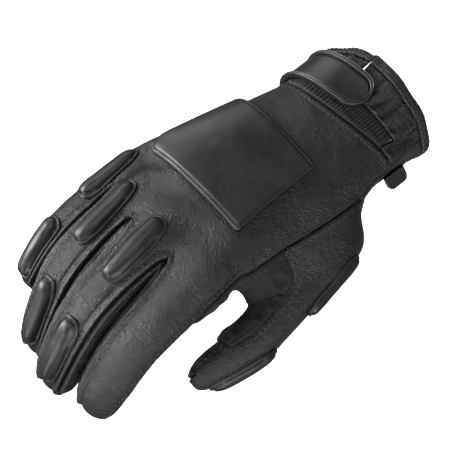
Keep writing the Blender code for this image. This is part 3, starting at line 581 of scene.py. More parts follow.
def add_hand(cage):
    for n, ring in enumerate(HAND_RINGS):
        for name, angle in section_angles(ring["seam"]).items():
            cage.put((n, name), hand_point(ring, angle))
    rings = (*range(len(HAND_RINGS)), "K", "F")
    hole_rows = (1, 2, 3)
    for n, (ring, following) in enumerate(zip(rings, rings[1:])):
        for place, name in enumerate(SECTION_ORDER):
            nxt = SECTION_ORDER[(place + 1) % len(SECTION_ORDER)]
            if ring in hole_rows and name in ("B0", "B1") and nxt in ("B0", "S"):
                continue
            on_back = name == "S" or name.startswith("T")
            panel = "back_panel" if on_back else "palm_panel"
            patched = not on_back and name in PATCHED_PALM and n >= 1
            cage.face(
                ((ring, name), (ring, nxt), (following, nxt), (following, name)), panel, patched,
            )


def glove_cage():
    cage = Cage()
    lines = [finger_line(finger) for finger in FINGERS]
    thumb = thumb_line()
    put_knuckles(cage, lines)
    add_hand(cage)
    add_cuff(cage)
    add_fingers(cage, lines)
    add_thumb(cage, thumb)
    return cage, lines, thumb


def seat(tree, start, way):
    """The point of the glove's surface met from start along way, or else the nearest."""
    point, _, _, _ = tree.ray_cast(start, way)
    return tree.find_nearest(start)[0] if point is None else point


def hand_axis(y):
    """The middle of the hand or the cuff at this distance from the mouth."""
    form = np.clip((WRIST_Y - y) / HAND_LENGTH, 0.0, 1.0)
    mouth = np.clip((y - WRIST_Y) / CUFF_LENGTH, 0.0, 1.0)
    wrist = Vector((WRIST_SHIFT, y, 0.06 * WRIST_DEPTH)) * float(1 - mouth)
    knuckles = Vector((KNUCKLE_SHIFT - 0.11 * PITCH, y, 0.42 * KNUCKLE_RISE))
    middle = wrist.lerp(knuckles, float(form))
    middle.y = y
    return middle


def wall(tree, y, angle):
    """The glove's surface met from the hand's axis at this angle: its point and the way out."""
    way = Vector((math.cos(math.radians(angle)), 0.0, math.sin(math.radians(angle))))
    middle = hand_axis(y)
    point, _, _, _ = tree.ray_cast(middle, way)
    return (middle if point is None else point), way


def evenly(points, count):
    """count places at equal steps along the line through the points."""
    steps = np.array([0.0] + [(b - a).length for a, b in zip(points, points[1:])]).cumsum()
    wanted = np.linspace(0.0, steps[-1], count)
    rows = np.array([tuple(p) for p in points])
    return [Vector([float(np.interp(t, steps, rows[:, k])) for k in range(3)]) for t in wanted]


CAD_BOX = [list(corner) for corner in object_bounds()]

# Seams: widths of grooves and lips, and the hem's, rims' and slits' grooves as shares of a seam's
GROOVE_WIDTH = 0.6 * MM
LIP_WIDTH = 0.8 * MM
SLIT_LIP_WIDTH = 1.1 * MM
SLIT_LIP_PLACE = 1.2
HEM_GROOVE = 0.35
RIM_GROOVE = 0.5
SLIT_GROOVE = 0.8
SPREAD_STEPS = 14
SEAM_REACH = 12 * MM
TENSE_WIDTH = 5 * MM

# The vent: how far its sides are drawn together, and over what angle beside it, in radians
VENT_SHUT = 0.985
VENT_REACH = 0.9

# Creases at the joints, with the outer ones shallower and the back's the faintest
CREASE_SPACING = 3.4 * MM
CREASE_WIDTH = 0.9 * MM
CREASE_WARP = 2.2 * MM
CREASE_WARP_SIZE = 9 * MM
CREASE_SEED = 3.1
OUTER_CREASE = 0.35
BACK_CREASE = 0.10
LINE_START = 0.08
FINGER_REACH = 19 * MM
CHUNK = 20000

# Soft buckles with ripples on them, and how much lighter their crests are painted, a painted highlight
BUCKLE_SIZE = 17 * MM
BUCKLE_SEED = 11.3
RIPPLE_SIZE = 5 * MM
RIPPLE_SEED = 5.9
RIPPLE_SHARE = 0.25
BUCKLE_SHEEN = 0.35

# Gathers of the cuff and ribs of the elastic, counted round the whole wrist
CUFF_GATHERS = 24
GATHER_HEIGHT = 0.8 * MM
ELASTIC_RIBS = 96
ROW_LENGTH = 4 * MM

# Finger pads: width beside the frame's, squareness of the oval, and places along and across
PAD_SPREAD = 1.12
PAD_SQUARENESS = 3.6
PAD_PLACES = (57, 33)

# Back pad: places to seat it, its rounded edge, the sewn line inside it and its crown
BACK_SEATS = (45, 60)
WALL_STEPS = 90
BACK_PAD_PLACES = 81
BACK_PAD_CORNER = 2.2 * MM
BACK_PAD_ROUND = 1.3 * MM
BACK_PAD_FLANGE = 0.78
BACK_PAD_LINE = 2.1 * MM
BACK_PAD_RISE = 1.4 * MM
BACK_PAD_CROWN = 0.6 * MM
BACK_PAD_GROOVE = 0.30 * MM

# Strap: places along and across it, round its free end, and along and across its edging
STRAP_PLACES = (44, 21)
STRAP_TURN = 16
EDGING_TURN = 33
EDGING_PLACES = 13

# Tones of a leather as shares of its colour, the last one a painted highlight on crests and edges, and the
# sizes of its blotches and its crackle
DARK_TONE = 0.72
LIGHT_TONE = 1.35
SHEEN_TONE = 4.5
BLOTCH_SIZE = 13 * MM
CRACKLE_SIZE = 3.2 * MM

# Edges sharper than this angle stay sharp, in degrees
SHARP_ANGLE = 65

# The photograph's view: where the camera aims, and how it stands off, in degrees and metres.
VIEW_CENTRE = Vector((-0.022, -0.100, 0.0075))
VIEW_AZIMUTH = 50.44
VIEW_ELEVATION = 62.29
VIEW_ROLL = -2.91
VIEW_DISTANCE = 0.900
VIEW_ASIDE = 0.0125
VIEW_DOWN = 0.0222
VIEW_LENS = 135.8
FLOOR_DROP = 0.30
FLOOR_SIDE = 8.0


def length(name, description, default):
    return bpy.props.FloatProperty(
        name=name, description=description, default=default, min=0.0, unit="LENGTH", precision=5
    )


def colour(name, description, default):
    return bpy.props.FloatVectorProperty(
        name=name, description=description, default=default, min=0.0, max=1.0, subtype="COLOR"
    )


class GloveSizes(bpy.types.PropertyGroup):
    """Sizes of the sewn leather that a maker would change."""

    cage_levels: bpy.props.IntProperty(
        name="Smoothing", description="How often the glove's cage is subdivided", default=4, min=2, max=5
    )
    seam_depth: length("Seam depth", "How far the leather turns down into a seam", 0.9 * MM)
    lip_height: length("Lip height", "How far the leather stands up beside a seam", 0.40 * MM)
    slit_lip_height: length("Slit lip height", "Height of the rolled lips between the fingers", 1.7 * MM)
    lip_distance: length("Lip distance", "From a seam to the top of its lip", 1.5 * MM)
    crease_depth: length("Crease depth", "Depth of the creases at the finger joints", 0.55 * MM)
    buckle_depth: length("Buckle depth", "Height of the soft buckles in the leather", 0.8 * MM)
    wrinkle_height: length("Wrinkle height", "Height of the wrinkles in the palm patch", 1.5 * MM)
    rib_depth: length("Rib depth", "Depth of the ribs in the gathered elastic", 0.55 * MM)
    flange_width: length("Flange width", "Width of the flat edge round a finger pad", 1.3 * MM)
    flange_height: length("Flange height", "Height of the flat edge round a finger pad", 1.1 * MM)
    stitch_length: length("Stitch length", "Length of one stitch", 1.9 * MM)
    stitch_width: length("Stitch width", "Width of the thread", 0.42 * MM)
    stitch_pitch: length("Stitch pitch", "From one stitch to the next", 3.0 * MM)
    stitch_inset: length("Stitch inset", "From a seam to the stitches beside it", 2.9 * MM)


class GloveColours(bpy.types.PropertyGroup):
    """Colours of the leathers, the elastic, the thread and the floor."""

    grained: colour("Grained leather", "Colour of the pebbled leather", (0.0065, 0.0067, 0.0078))
    smooth: colour("Smooth leather", "Colour of the pads and the strap", (0.0080, 0.0081, 0.0092))
    suede: colour("Suede", "Colour of the palm patch", (0.0040, 0.0040, 0.0045))
    elastic: colour("Elastic", "Colour of the gathered elastic", (0.0060, 0.0060, 0.0070))
    thread: colour("Thread", "Colour of the stitches", (0.055, 0.055, 0.060))
    floor: colour("Floor", "Colour of the floor", (0.93, 0.93, 0.93))


def sizes():
    return bpy.context.scene.glove_sizes


def colours():
    return bpy.context.scene.glove_colours


def falloff(distance, centre, width):
    return np.exp(-(((distance - centre) / width) ** 2))


def unit(rows):
    return rows / np.maximum(np.linalg.norm(rows, axis=-1, keepdims=True), 1e-12)


def field(points, scale, seed, stretch=(1.0, 1.0, 1.0)):
    """Smooth noise from -1 to 1 at each point, with features of about this size."""
    spots = points * (np.array(stretch) / scale) + seed
    return np.array([noise.noise(spot) for spot in spots.tolist()])


def fine_mesh(cage, levels):
    """The cage made smooth: its points, their normals, its quads and each quad's mark."""
    mesh = bpy.data.meshes.new("cage")
    mesh.from_pydata(cage.points, [], cage.faces)
    mesh.polygons.foreach_set("material_index", cage.marks)
    holder = bpy.data.objects.new("cage", mesh)
    bpy.context.scene.collection.objects.link(holder)
    smooth = holder.modifiers.new("smooth", "SUBSURF")
    smooth.levels = smooth.render_levels = levels
    evaluated = holder.evaluated_get(bpy.context.evaluated_depsgraph_get())
    fine = evaluated.to_mesh()
    points = np.empty(3 * len(fine.vertices), np.float32)
    normals = np.empty_like(points)
    quads = np.empty(len(fine.loops), np.int32)
    marks = np.empty(len(fine.polygons), np.int32)
    fine.vertices.foreach_get("co", points)
    fine.vertices.foreach_get("normal", normals)
    fine.loops.foreach_get("vertex_index", quads)
    fine.polygons.foreach_get("material_index", marks)
    evaluated.to_mesh_clear()
    bpy.data.objects.remove(holder)
    bpy.data.meshes.remove(mesh)
    return (
        points.reshape(-1, 3).astype(float), normals.reshape(-1, 3).astype(float),
        quads.reshape(-1, 4).astype(np.int64), marks.astype(np.int64),
    )


def all_edges(quads):
    return np.concatenate([quads[:, [k, (k + 1) % 4]] for k in range(4)])


def edge_rows(quads, owners):
    """Every edge once, with the owners of the faces on its two sides, -1 where there is none."""
    ends = np.sort(all_edges(quads), axis=1)
    owner = np.tile(owners, 4)
    order = np.lexsort((ends[:, 1], ends[:, 0]))
    ends, owner = ends[order], owner[order]
    first = np.ones(len(ends), bool)
    first[1:] = (ends[1:] != ends[:-1]).any(axis=1)
    rows = np.flatnonzero(first)
    after = np.minimum(rows + 1, len(ends) - 1)
    other = np.where(first[after], -1, owner[after])
    return ends[rows], owner[rows], other


def rim_edges(quads):
    """The directed edges that only one of the quads has."""
    ends = all_edges(quads)
    size = quads.max() + 1
    return ends[~np.isin(ends[:, 0] * size + ends[:, 1], ends[:, 1] * size + ends[:, 0])]


def distance_from(points, ends, starts):
    """How far each point lies from the starting edges, measured along the surface's own edges."""
    a, b = ends.T
    step = np.linalg.norm(points[a] - points[b], axis=1)
    far = np.full(len(points), SEAM_REACH)
    far[ends[starts].ravel()] = 0.0
    for _ in range(SPREAD_STEPS):
        np.minimum.at(far, a, far[b] + step)
        np.minimum.at(far, b, far[a] + step)
    return far


def cuff_folds(points):
    """The cuff's folds, as in the frame: they start at the elastic and open towards the mouth."""
    share = (points[:, 1] + CUFF_LENGTH - ELASTIC_LENGTH) / (CUFF_LENGTH - ELASTIC_LENGTH)
    angle = np.arctan2(points[:, 2], points[:, 0])
    wave = np.cos(angle * RUFFLES + 0.7) + 0.5 * np.cos(angle * 5 - 1.2)
    return RUFFLE_DEPTH * 0.5 * smooth_step(share) * wave


def beside(line, points):
    """Each point's gap to a finger's line, its share along it, and 1 to -1 from its back to its palm."""
    on_line = line.stations > LINE_START
    path, back, stations = line.path[on_line][::2], line.back[on_line][::2], line.stations[on_line][::2]
    found = []
    for start in range(0, len(points), CHUNK):
        spots = points[start:start + CHUNK]
        gaps = np.linalg.norm(spots[:, None] - path[None], axis=2)
        nearest = gaps.argmin(axis=1)
        offset = unit(spots - path[nearest])
        found.append(np.stack([
            gaps.min(axis=1), stations[nearest], (offset * unit(back[nearest])).sum(axis=1),
        ], 1))
    return np.concatenate(found).T


def joint_creases(points, fingers, thumb):
    """The creases across each finger's joints, deep on the palm side and faint on the back."""
    places = [
        (line, finger["length"], (MIDDLE_JOINT, TIP_JOINT)) for line, finger in zip(fingers, FINGERS)
    ]
    places.append((thumb, THUMB_LENGTH, tuple(joint["along"] for joint in THUMB_JOINTS)))
    warp = field(points, CREASE_WARP_SIZE, CREASE_SEED) * CREASE_WARP
    depth = np.zeros(len(points))
    nearest = np.full(len(points), FINGER_REACH)
    for line, whole, joints in places:
        gap, along, facing = beside(line, points)
        made = np.zeros(len(points))
        for joint in joints:
            for step in (-1, 0, 1):
                away = (along - joint) * whole - step * CREASE_SPACING + warp
                made += falloff(away, 0.0, CREASE_WIDTH) * (1 - OUTER_CREASE * abs(step))
        made *= np.clip(0.50 - 0.75 * facing, BACK_CREASE, 1.0)
        closer = gap < nearest
        depth[closer] = made[closer]
        nearest = np.minimum(nearest, gap)
    return depth


class Form:
    """The glove's smooth surface, with its seams, lips, creases, folds and buckles."""

    def __init__(self):
        chosen = sizes()
        cage, self.fingers, self.thumb = glove_cage()
        self.plain, self.normals, self.quads, marks = fine_mesh(cage, chosen.cage_levels)
        self.panel = marks % PATCH_FLAG
        self.patched = marks >= PATCH_FLAG
        self.measure_seams()
        self.plain_tree = BVHTree.FromPolygons(self.plain.tolist(), self.quads.tolist())
        self.shut_vent()
        self.fold = cuff_folds(self.plain)
        under = np.zeros(len(self.plain), bool)
        under[self.quads[self.patched]] = True
        lips = chosen.lip_height * falloff(self.seam, chosen.lip_distance, LIP_WIDTH)
        beside_slit = falloff(self.slit, SLIT_LIP_PLACE * chosen.lip_distance, SLIT_LIP_WIDTH)
        lips = np.maximum(lips, chosen.slit_lip_height * beside_slit)
        grooves = chosen.seam_depth * falloff(self.seam, 0.0, GROOVE_WIDTH)
        grooves += HEM_GROOVE * chosen.seam_depth * falloff(self.hem_line, 0.0, GROOVE_WIDTH)
        grooves += RIM_GROOVE * chosen.seam_depth * falloff(self.rim, 0.0, GROOVE_WIDTH)
        beside_lip = falloff(self.slit, 3 * chosen.lip_distance, LIP_WIDTH)
        grooves += SLIT_GROOVE * chosen.seam_depth * beside_lip
        creases = chosen.crease_depth * joint_creases(self.plain, self.fingers, self.thumb)
        buckles = (1 - RIPPLE_SHARE) * field(self.plain, BUCKLE_SIZE, BUCKLE_SEED)
        buckles = buckles + RIPPLE_SHARE * field(self.plain, RIPPLE_SIZE, RIPPLE_SEED)
        tense = smooth_step(self.seam / TENSE_WIDTH)
        relief = lips - grooves - creases + chosen.buckle_depth * buckles * tense
        relief[under] = 0.0
        self.relief = relief
        # Painted highlight: the tops of the lips and the crests of the buckles are marked to be coloured
        # lighter
        self.painted_sheen = np.clip(lips / chosen.slit_lip_height + BUCKLE_SHEEN * buckles, 0.0, 1.0)
        self.points = self.plain + self.normals * (self.relief + self.fold)[:, None]
        self.tree = BVHTree.FromPolygons(self.points.tolist(), self.quads.tolist())

    def shut_vent(self):
        """Draws the sides of the cuff's vent together towards the mouth, as the strap holds them."""
        vent = np.unique(self.quads[self.panel == PANELS.index("vent")])
        angle = np.arctan2(self.plain[:, 2], self.plain[:, 0])
        centre = np.angle(np.exp(1j * angle[vent]).mean())
        away = np.angle(np.exp(1j * (angle - centre)))
        half = np.abs(away[vent]).max()
        inner, mouth = self.plain[vent, 1].min(), self.plain[vent, 1].max()
        near = np.clip((half + VENT_REACH - np.abs(away)) / VENT_REACH, 0, 1)
        along = smooth_step(4 * (self.plain[:, 1] - inner) / (mouth - inner))
        turn = -np.sign(away) * np.minimum(np.abs(away), half) * VENT_SHUT * near * along
        for n in np.flatnonzero(np.abs(turn) > 1e-4):
            x, y, z = self.plain[n]
            c, s = math.cos(turn[n]), math.sin(turn[n])
            place, normal, _, _ = self.plain_tree.find_nearest(Vector((c * x - s * z, y, s * x + c * z)))
            self.plain[n], self.normals[n] = place, normal

    def measure_seams(self):
        """How far each point lies from the seams, the slits, the hem, the open rims and the patch."""
        cuff, hem, vent = (PANELS.index(name) for name in ("cuff", "cuff_hem", "vent"))
        slits = [n for n, name in enumerate(PANELS) if name.startswith("fourchette")]
        ends, a, b = edge_rows(self.quads, np.where(self.panel == vent, -1, self.panel))
        _, inside, outside = edge_rows(self.quads, self.patched.astype(np.int64))
        differ, both = a != b, (a >= 0) & (b >= 0)
        folded = differ & (np.minimum(a, b) == cuff) & (np.maximum(a, b) == hem)
        sewn = differ & both & ~folded
        self.seam = distance_from(self.plain, ends, sewn)
        self.slit = distance_from(self.plain, ends, sewn & (np.isin(a, slits) | np.isin(b, slits)))
        self.hem_line = distance_from(self.plain, ends, folded)
        self.rim = distance_from(self.plain, ends, differ & ~both)
        self.patch_edge = distance_from(self.plain, ends, (inside != outside) & (outside >= 0))


@functools.cache
def form():
    return Form()


def piece(name, points, faces, look, stands_for=(), painted_sheen=None):
    """One finished piece of the glove, riding on its frame."""
    mesh = bpy.data.meshes.new(name)
    mesh.from_pydata(np.asarray(points).tolist(), [], faces)
    mesh.materials.append(look)
    mesh.shade_smooth()
    mesh.set_sharp_from_angle(angle=math.radians(SHARP_ANGLE))
    if painted_sheen is not None:
        # Stores the painted highlight marks, read by the leather's colour on crests and edges
        mesh.attributes.new("painted_sheen", "FLOAT", "POINT").data.foreach_set("value", painted_sheen.astype(np.float32))
    made = bpy.data.objects.new(name, mesh)
    bpy.context.scene.collection.objects.link(made)
    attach(made, "root")
    if stands_for:
        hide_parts(*stands_for)
    return made


def walled(quads, count):
    """The faces of a closed sheet: these quads above, the same turned over below, and its edge."""
    rim = rim_edges(quads)
    edge = np.stack([rim[:, 1], rim[:, 0], rim[:, 0] + count, rim[:, 1] + count], 1)
    return np.concatenate([quads, quads[:, ::-1] + count, edge])


def cut_sheet(name, chosen, high, low, look):
    """A sheet of the glove's surface, from low to high above it, its outer face drawn in at its seams."""
    shape = form()
    quads = shape.quads[chosen]
    used, index = np.unique(quads, return_inverse=True)
    quads = index.reshape(-1, 4)
    points, normals = shape.plain[used], shape.normals[used]
    rim = rim_edges(quads)
    way = unit(points[rim[:, 1]] - points[rim[:, 0]])
    inward = np.zeros_like(points)
    for column in (0, 1):
        np.add.at(inward, rim[:, column], np.cross(normals[rim[:, column]], way))
    outer = points + unit(inward) * (SEAM_GAP / 2) + normals * high[used][:, None]
    inner = points + normals * low[used][:, None]
    faces = walled(quads, len(used)).tolist()
    # Painted highlight marks on the outer face only
    painted_sheen = np.concatenate([shape.painted_sheen[used], np.zeros(len(used))])
    return piece(f"{name}_sewn", np.concatenate([outer, inner]), faces, look, (name,), painted_sheen)


def slab(name, low, high, look, stands_for, painted_sheen=None):
    """A closed piece between two equal grids of points."""
    rows, columns = low.shape[:2]
    grid = np.arange(rows * columns).reshape(rows, columns)
    quads = np.stack([grid[:-1, :-1], grid[:-1, 1:], grid[1:, 1:], grid[1:, :-1]], -1).reshape(-1, 4)
    faces = walled(quads, rows * columns)
    points = np.concatenate([high.reshape(-1, 3), low.reshape(-1, 3)])
    corners = points[faces]
    volume = (corners[:, 0] * np.cross(corners[:, 1], corners[:, 2])).sum()
    volume += (corners[:, 0] * np.cross(corners[:, 2], corners[:, 3])).sum()
    if volume < 0:
        faces = faces[:, ::-1]
    if painted_sheen is not None:
        painted_sheen = np.concatenate([painted_sheen.ravel(), np.zeros(painted_sheen.size)])
    return piece(name, points, faces.tolist(), look, stands_for, painted_sheen)


def oval_places(rows, columns, power):
    """Places over a rounded oval, from -1 to 1 both ways, closer together near its rim."""
    def spaced(count):
        share = np.linspace(-1.0, 1.0, count)
        return np.sign(share) * (1 - (1 - np.abs(share)) ** 1.5)

    u, v = np.meshgrid(spaced(rows), spaced(columns), indexing="ij")
    rim = np.maximum(np.abs(u), np.abs(v))
    whole = (np.abs(u) ** power + np.abs(v) ** power) ** (1 / power)
    scale = np.where(whole > 0, rim / np.maximum(whole, 1e-9), 1.0)
    return u * scale, v * scale, rim


def inset_of(u, v, rim, half_length, half_width):
    """How far inside an oval's rim each of its places lies, in metres."""
    along, across = np.abs(u) ** 4 * half_width ** 2, np.abs(v) ** 4 * half_length ** 2
    mixed = np.where(along + across > 0, along / np.maximum(along + across, 1e-18), 0.5)
    return (1 - rim) * (half_length * mixed + half_width * (1 - mixed))


def pad_height(inset, half_width, height):
    """A pad's height over its seat: a rounded edge, a flat flange, a sewn groove and a full dome."""
    chosen = sizes()
    edge = chosen.flange_height * (0.45 + 0.55 * np.sqrt(np.clip(inset / (0.5 * MM), 0, 1)))
    rise = np.clip((inset - chosen.flange_width) / (half_width - chosen.flange_width), 0, 1)
    dome = (height - chosen.flange_height) * np.sqrt(1 - (1 - rise) ** 2)
    groove = 0.45 * chosen.flange_height * falloff(inset, chosen.flange_width, 0.35 * MM)
    return edge + dome - groove


def line_pad(pad, line, whole, height, reach):
    """A long padded oval along a finger's back, seated on the leather."""
    shape = form()
    half_width, half_length = PAD_SPREAD * PAD_WIDTH / 2, (pad["end"] - pad["start"]) * whole / 2
    u, v, rim = oval_places(*PAD_PLACES, PAD_SQUARENESS)
    tilt = math.radians(pad["side"])
    low, ways = np.empty((*u.shape, 3)), np.empty((*u.shape, 3))
    across = Vector(line.side)
    for r, c in np.ndindex(u.shape):
        along = lerp(pad["start"], pad["end"], (u[r, c] + 1) / 2)
        back = line.at(along, line.back).normalized()
        out = back * math.cos(tilt) - across * math.sin(tilt)
        aside = across * math.cos(tilt) + back * math.sin(tilt)
        start = line.at(along, line.path) + out * reach + aside * float(v[r, c] * half_width)
        low[r, c] = seat(shape.tree, start, -out) + out * (0.5 * SEAT_GAP)
        ways[r, c] = out
    inset = inset_of(u, v, rim, half_length, half_width)
    thick = pad_height(inset, half_width, height)
    # Painted highlight along the pad's rim and along its crown
    painted_sheen = 0.35 * falloff(inset, 0.6 * MM, 0.5 * MM) + 0.25 * falloff(inset, half_width, 3 * MM)
    made = slab(
        f"{pad['name']}_stuffed", low, low + ways * thick[..., None],
        smooth_leather(), (pad["name"],), painted_sheen,
    )
    return made


def noise_node(nodes, place, links, size, detail, roughness=0.55):
    texture = nodes.new("ShaderNodeTexNoise")
    texture.inputs["Scale"].default_value = 1 / size
    texture.inputs["Detail"].default_value = detail
    texture.inputs["Roughness"].default_value = roughness
    links.new(place.outputs["Object"], texture.inputs["Vector"])
    return texture


def mapped(nodes, links, source, low, high, start=0.3, end=0.7):
    """A socket's values from start to end, drawn out to run from low to high."""
    node = nodes.new("ShaderNodeMapRange")
    for name, value in (("From Min", start), ("From Max", end), ("To Min", low), ("To Max", high)):
        node.inputs[name].default_value = value
    links.new(source, node.inputs["Value"])
    return node.outputs["Result"]


def hide_look(name, tone, pebble, pebble_depth, crackle_depth, dullness, spread, sheen_gain):
    """Leather: pebbled grain over fine pores, soft colour changes, and a painted highlight that colours
    marked crests and edges lighter.
    """
    material = bpy.data.materials.new(name)
    material.use_nodes = True
    nodes, links = material.node_tree.nodes, material.node_tree.links
    shader = nodes["Principled BSDF"]
    place = nodes.new("ShaderNodeTexCoord")
    cells = nodes.new("ShaderNodeTexVoronoi")
    cells.feature = "SMOOTH_F1"
    cells.inputs["Scale"].default_value = 1 / pebble
    cells.inputs["Smoothness"].default_value = 0.4
    links.new(place.outputs["Object"], cells.inputs["Vector"])
    pores = noise_node(nodes, place, links, pebble * 0.45, 3)
    broad = noise_node(nodes, place, links, BLOTCH_SIZE, 4)
    crackle = noise_node(nodes, place, links, CRACKLE_SIZE, 3, 0.6)
    rough_grain = nodes.new("ShaderNodeMath")
    rough_grain.operation = "MULTIPLY_ADD"
    links.new(pores.outputs["Fac"], rough_grain.inputs[0])
    rough_grain.inputs[1].default_value = 0.7
    links.new(cells.outputs["Distance"], rough_grain.inputs[2])
    grain = nodes.new("ShaderNodeBump")
    grain.inputs["Distance"].default_value = pebble_depth
    links.new(rough_grain.outputs["Value"], grain.inputs["Height"])
    soft = nodes.new("ShaderNodeBump")
    soft.inputs["Distance"].default_value = crackle_depth
    links.new(crackle.outputs["Fac"], soft.inputs["Height"])
    links.new(grain.outputs["Normal"], soft.inputs["Normal"])
    links.new(soft.outputs["Normal"], shader.inputs["Normal"])
    tint = nodes.new("ShaderNodeMix")
    tint.data_type = "RGBA"
    tint.inputs["A"].default_value = (*[DARK_TONE * value for value in tone], 1)
    tint.inputs["B"].default_value = (*[LIGHT_TONE * value for value in tone], 1)
    links.new(mapped(nodes, links, broad.outputs["Fac"], 0.0, 1.0), tint.inputs["Factor"])
    # Painted highlight: where the crests and edges are marked, the colour is mixed towards a much lighter
    # tone
    sheened = nodes.new("ShaderNodeMix")
    sheened.data_type = "RGBA"
    sheened.inputs["B"].default_value = (*[SHEEN_TONE * value for value in tone], 1)
    links.new(tint.outputs["Result"], sheened.inputs["A"])
    sheen_attribute = nodes.new("ShaderNodeAttribute")
    sheen_attribute.attribute_name = "painted_sheen"
    links.new(mapped(nodes, links, sheen_attribute.outputs["Fac"], 0.0, sheen_gain, 0.15, 1.0), sheened.inputs["Factor"])
    links.new(sheened.outputs["Result"], shader.inputs["Base Color"])
    links.new(
        mapped(nodes, links, broad.outputs["Fac"], dullness - spread, dullness + spread),
        shader.inputs["Roughness"],
    )
    shader.inputs["Metallic"].default_value = 0.0
    shader.inputs["Specular IOR Level"].default_value = 0.5
    return material


@functools.cache
def grained_leather():
    return hide_look(
        "grained_leather", colours().grained, pebble=0.95 * MM, pebble_depth=0.42 * MM,
        crackle_depth=0.20 * MM, dullness=0.25, spread=0.05, sheen_gain=0.8,
    )


@functools.cache
def smooth_leather():
    return hide_look(
        "smooth_leather", colours().smooth, pebble=0.45 * MM, pebble_depth=0.035 * MM,
        crackle_depth=0.12 * MM, dullness=0.41, spread=0.05, sheen_gain=0.9,
    )


@functools.cache
def suede_leather():
    material = hide_look(
        "suede_leather", colours().suede, pebble=0.40 * MM, pebble_depth=0.08 * MM,
        crackle_depth=0.30 * MM, dullness=0.85, spread=0.06, sheen_gain=0.3,
    )
    shader = material.node_tree.nodes["Principled BSDF"]
    shader.inputs["Sheen Weight"].default_value = 0.03
    shader.inputs["Sheen Roughness"].default_value = 0.6
    return material


@functools.cache
def elastic_cloth():
    material = hide_look(
        "elastic_cloth", colours().elastic, pebble=0.55 * MM, pebble_depth=0.10 * MM,
        crackle_depth=0.12 * MM, dullness=0.70, spread=0.08, sheen_gain=0.2,
    )
    shader = material.node_tree.nodes["Principled BSDF"]
    shader.inputs["Sheen Weight"].default_value = 0.10
    return material


@functools.cache
def waxed_thread():
    return hide_look(
        "waxed_thread", colours().thread, pebble=0.20 * MM, pebble_depth=0.03 * MM,
        crackle_depth=0.02 * MM, dullness=0.45, spread=0.05, sheen_gain=0.2,
    )


def panel_faces(name):
    shape = form()
    return shape.panel == PANELS.index(name)


class GLOVE_OT_leather_panels(bpy.types.Operator):
    """Cuts and sews the leather panels of the hand, the fingers, the thumb and the cuff"""

    bl_idname = "glove.leather_panels"
    bl_label = "Leather panels"

    def execute(self, context):
        shape = form()
        for name in PANELS:
            if name in OPEN_PANELS:
                continue
            extra = (HEM_LEATHER - LEATHER) / 2 if name == "cuff_hem" else 0.0
            high = shape.fold + shape.relief + extra
            low = shape.fold - LEATHER - extra
            if name == "cuff":
                angle = np.arctan2(shape.plain[:, 2], shape.plain[:, 0])
                gathers = np.cos(CUFF_GATHERS * angle + 1.6 * field(shape.plain, 9 * MM, 7.7))
                high = high + GATHER_HEIGHT * gathers * smooth_step(shape.seam / (4 * MM))
            cut_sheet(name, panel_faces(name), high, low, grained_leather())
        return {"FINISHED"}


class GLOVE_OT_palm_patch(bpy.types.Operator):
    """Sews the wrinkled patch over the palm and round the thumb"""

    bl_idname = "glove.palm_patch"
    bl_label = "Palm patch"

    def execute(self, context):
        shape, chosen = form(), sizes()
        ridged = 1 - 2.2 * np.abs(field(shape.plain, 8 * MM, 2.4, (1.5, 0.6, 1.5)))
        ridged = np.clip(ridged, 0.0, 1.0) ** 2 * smooth_step(shape.patch_edge / (6 * MM))
        edge = 0.8 * MM * falloff(shape.patch_edge, 0.0, GROOVE_WIDTH)
        high = PATCH_GAP + PATCH_LEATHER + chosen.wrinkle_height * ridged - edge
        low = np.full(len(shape.plain), PATCH_GAP)
        cut_sheet("palm_patch", shape.patched, high, low, suede_leather())
        return {"FINISHED"}


class GLOVE_OT_wrist_elastic(bpy.types.Operator):
    """Gathers the elastic across the back of the wrist into fine ribs"""

    bl_idname = "glove.wrist_elastic"
    bl_label = "Gathered elastic"

    def execute(self, context):
        shape, chosen = form(), sizes()
        angle = np.arctan2(shape.plain[:, 2], shape.plain[:, 0] - WRIST_SHIFT)
        phase = ELASTIC_RIBS * angle + 1.1 * field(shape.plain, 7 * MM, 9.2)
        ribs = np.cos(phase) + 0.25 * np.cos(2 * phase)
        rows = 0.3 * np.cos(shape.plain[:, 1] * 2 * math.pi / ROW_LENGTH)
        held = smooth_step(shape.seam / (2.5 * MM))
        sunk = 0.8 * MM * falloff(shape.seam, 0.0, GROOVE_WIDTH)
        high = shape.fold + chosen.rib_depth * (ribs + rows) * held - sunk
        low = shape.fold - ELASTIC_THICKNESS
        cut_sheet("wrist_elastic", panel_faces("wrist_elastic"), high, low, elastic_cloth())
        return {"FINISHED"}


def corner_rounded(u, v, corner_u, corner_v):
    """Places of a square drawn to one with round corners, of these shares of its half sides."""
    inner_u, inner_v = 1 - corner_u, 1 - corner_v
    over_u = np.clip((np.abs(u) - inner_u) / corner_u, 0, 1)
    over_v = np.clip((np.abs(v) - inner_v) / corner_v, 0, 1)
    radius = np.hypot(over_u, over_v)
    shrink = np.where(radius > 0, np.maximum(over_u, over_v) / np.maximum(radius, 1e-9), 1.0)
    in_corner = (over_u > 0) & (over_v > 0)
    new_u = np.where(in_corner, inner_u + corner_u * over_u * shrink, np.abs(u)) * np.sign(u)
    new_v = np.where(in_corner, inner_v + corner_v * over_v * shrink, np.abs(v)) * np.sign(v)
    return new_u, new_v


def sampled(grid, u, v):
    """The grid's values at places from -1 to 1 both ways."""
    rows, columns = grid.shape[:2]
    r, c = (u + 1) / 2 * (rows - 1), (v + 1) / 2 * (columns - 1)
    r0, c0 = np.clip(r.astype(int), 0, rows - 2), np.clip(c.astype(int), 0, columns - 2)
    a, b = (r - r0)[..., None], (c - c0)[..., None]
    near = grid[r0, c0] * (1 - b) + grid[r0, c0 + 1] * b
    far = grid[r0 + 1, c0] * (1 - b) + grid[r0 + 1, c0 + 1] * b
    return near * (1 - a) + far * a


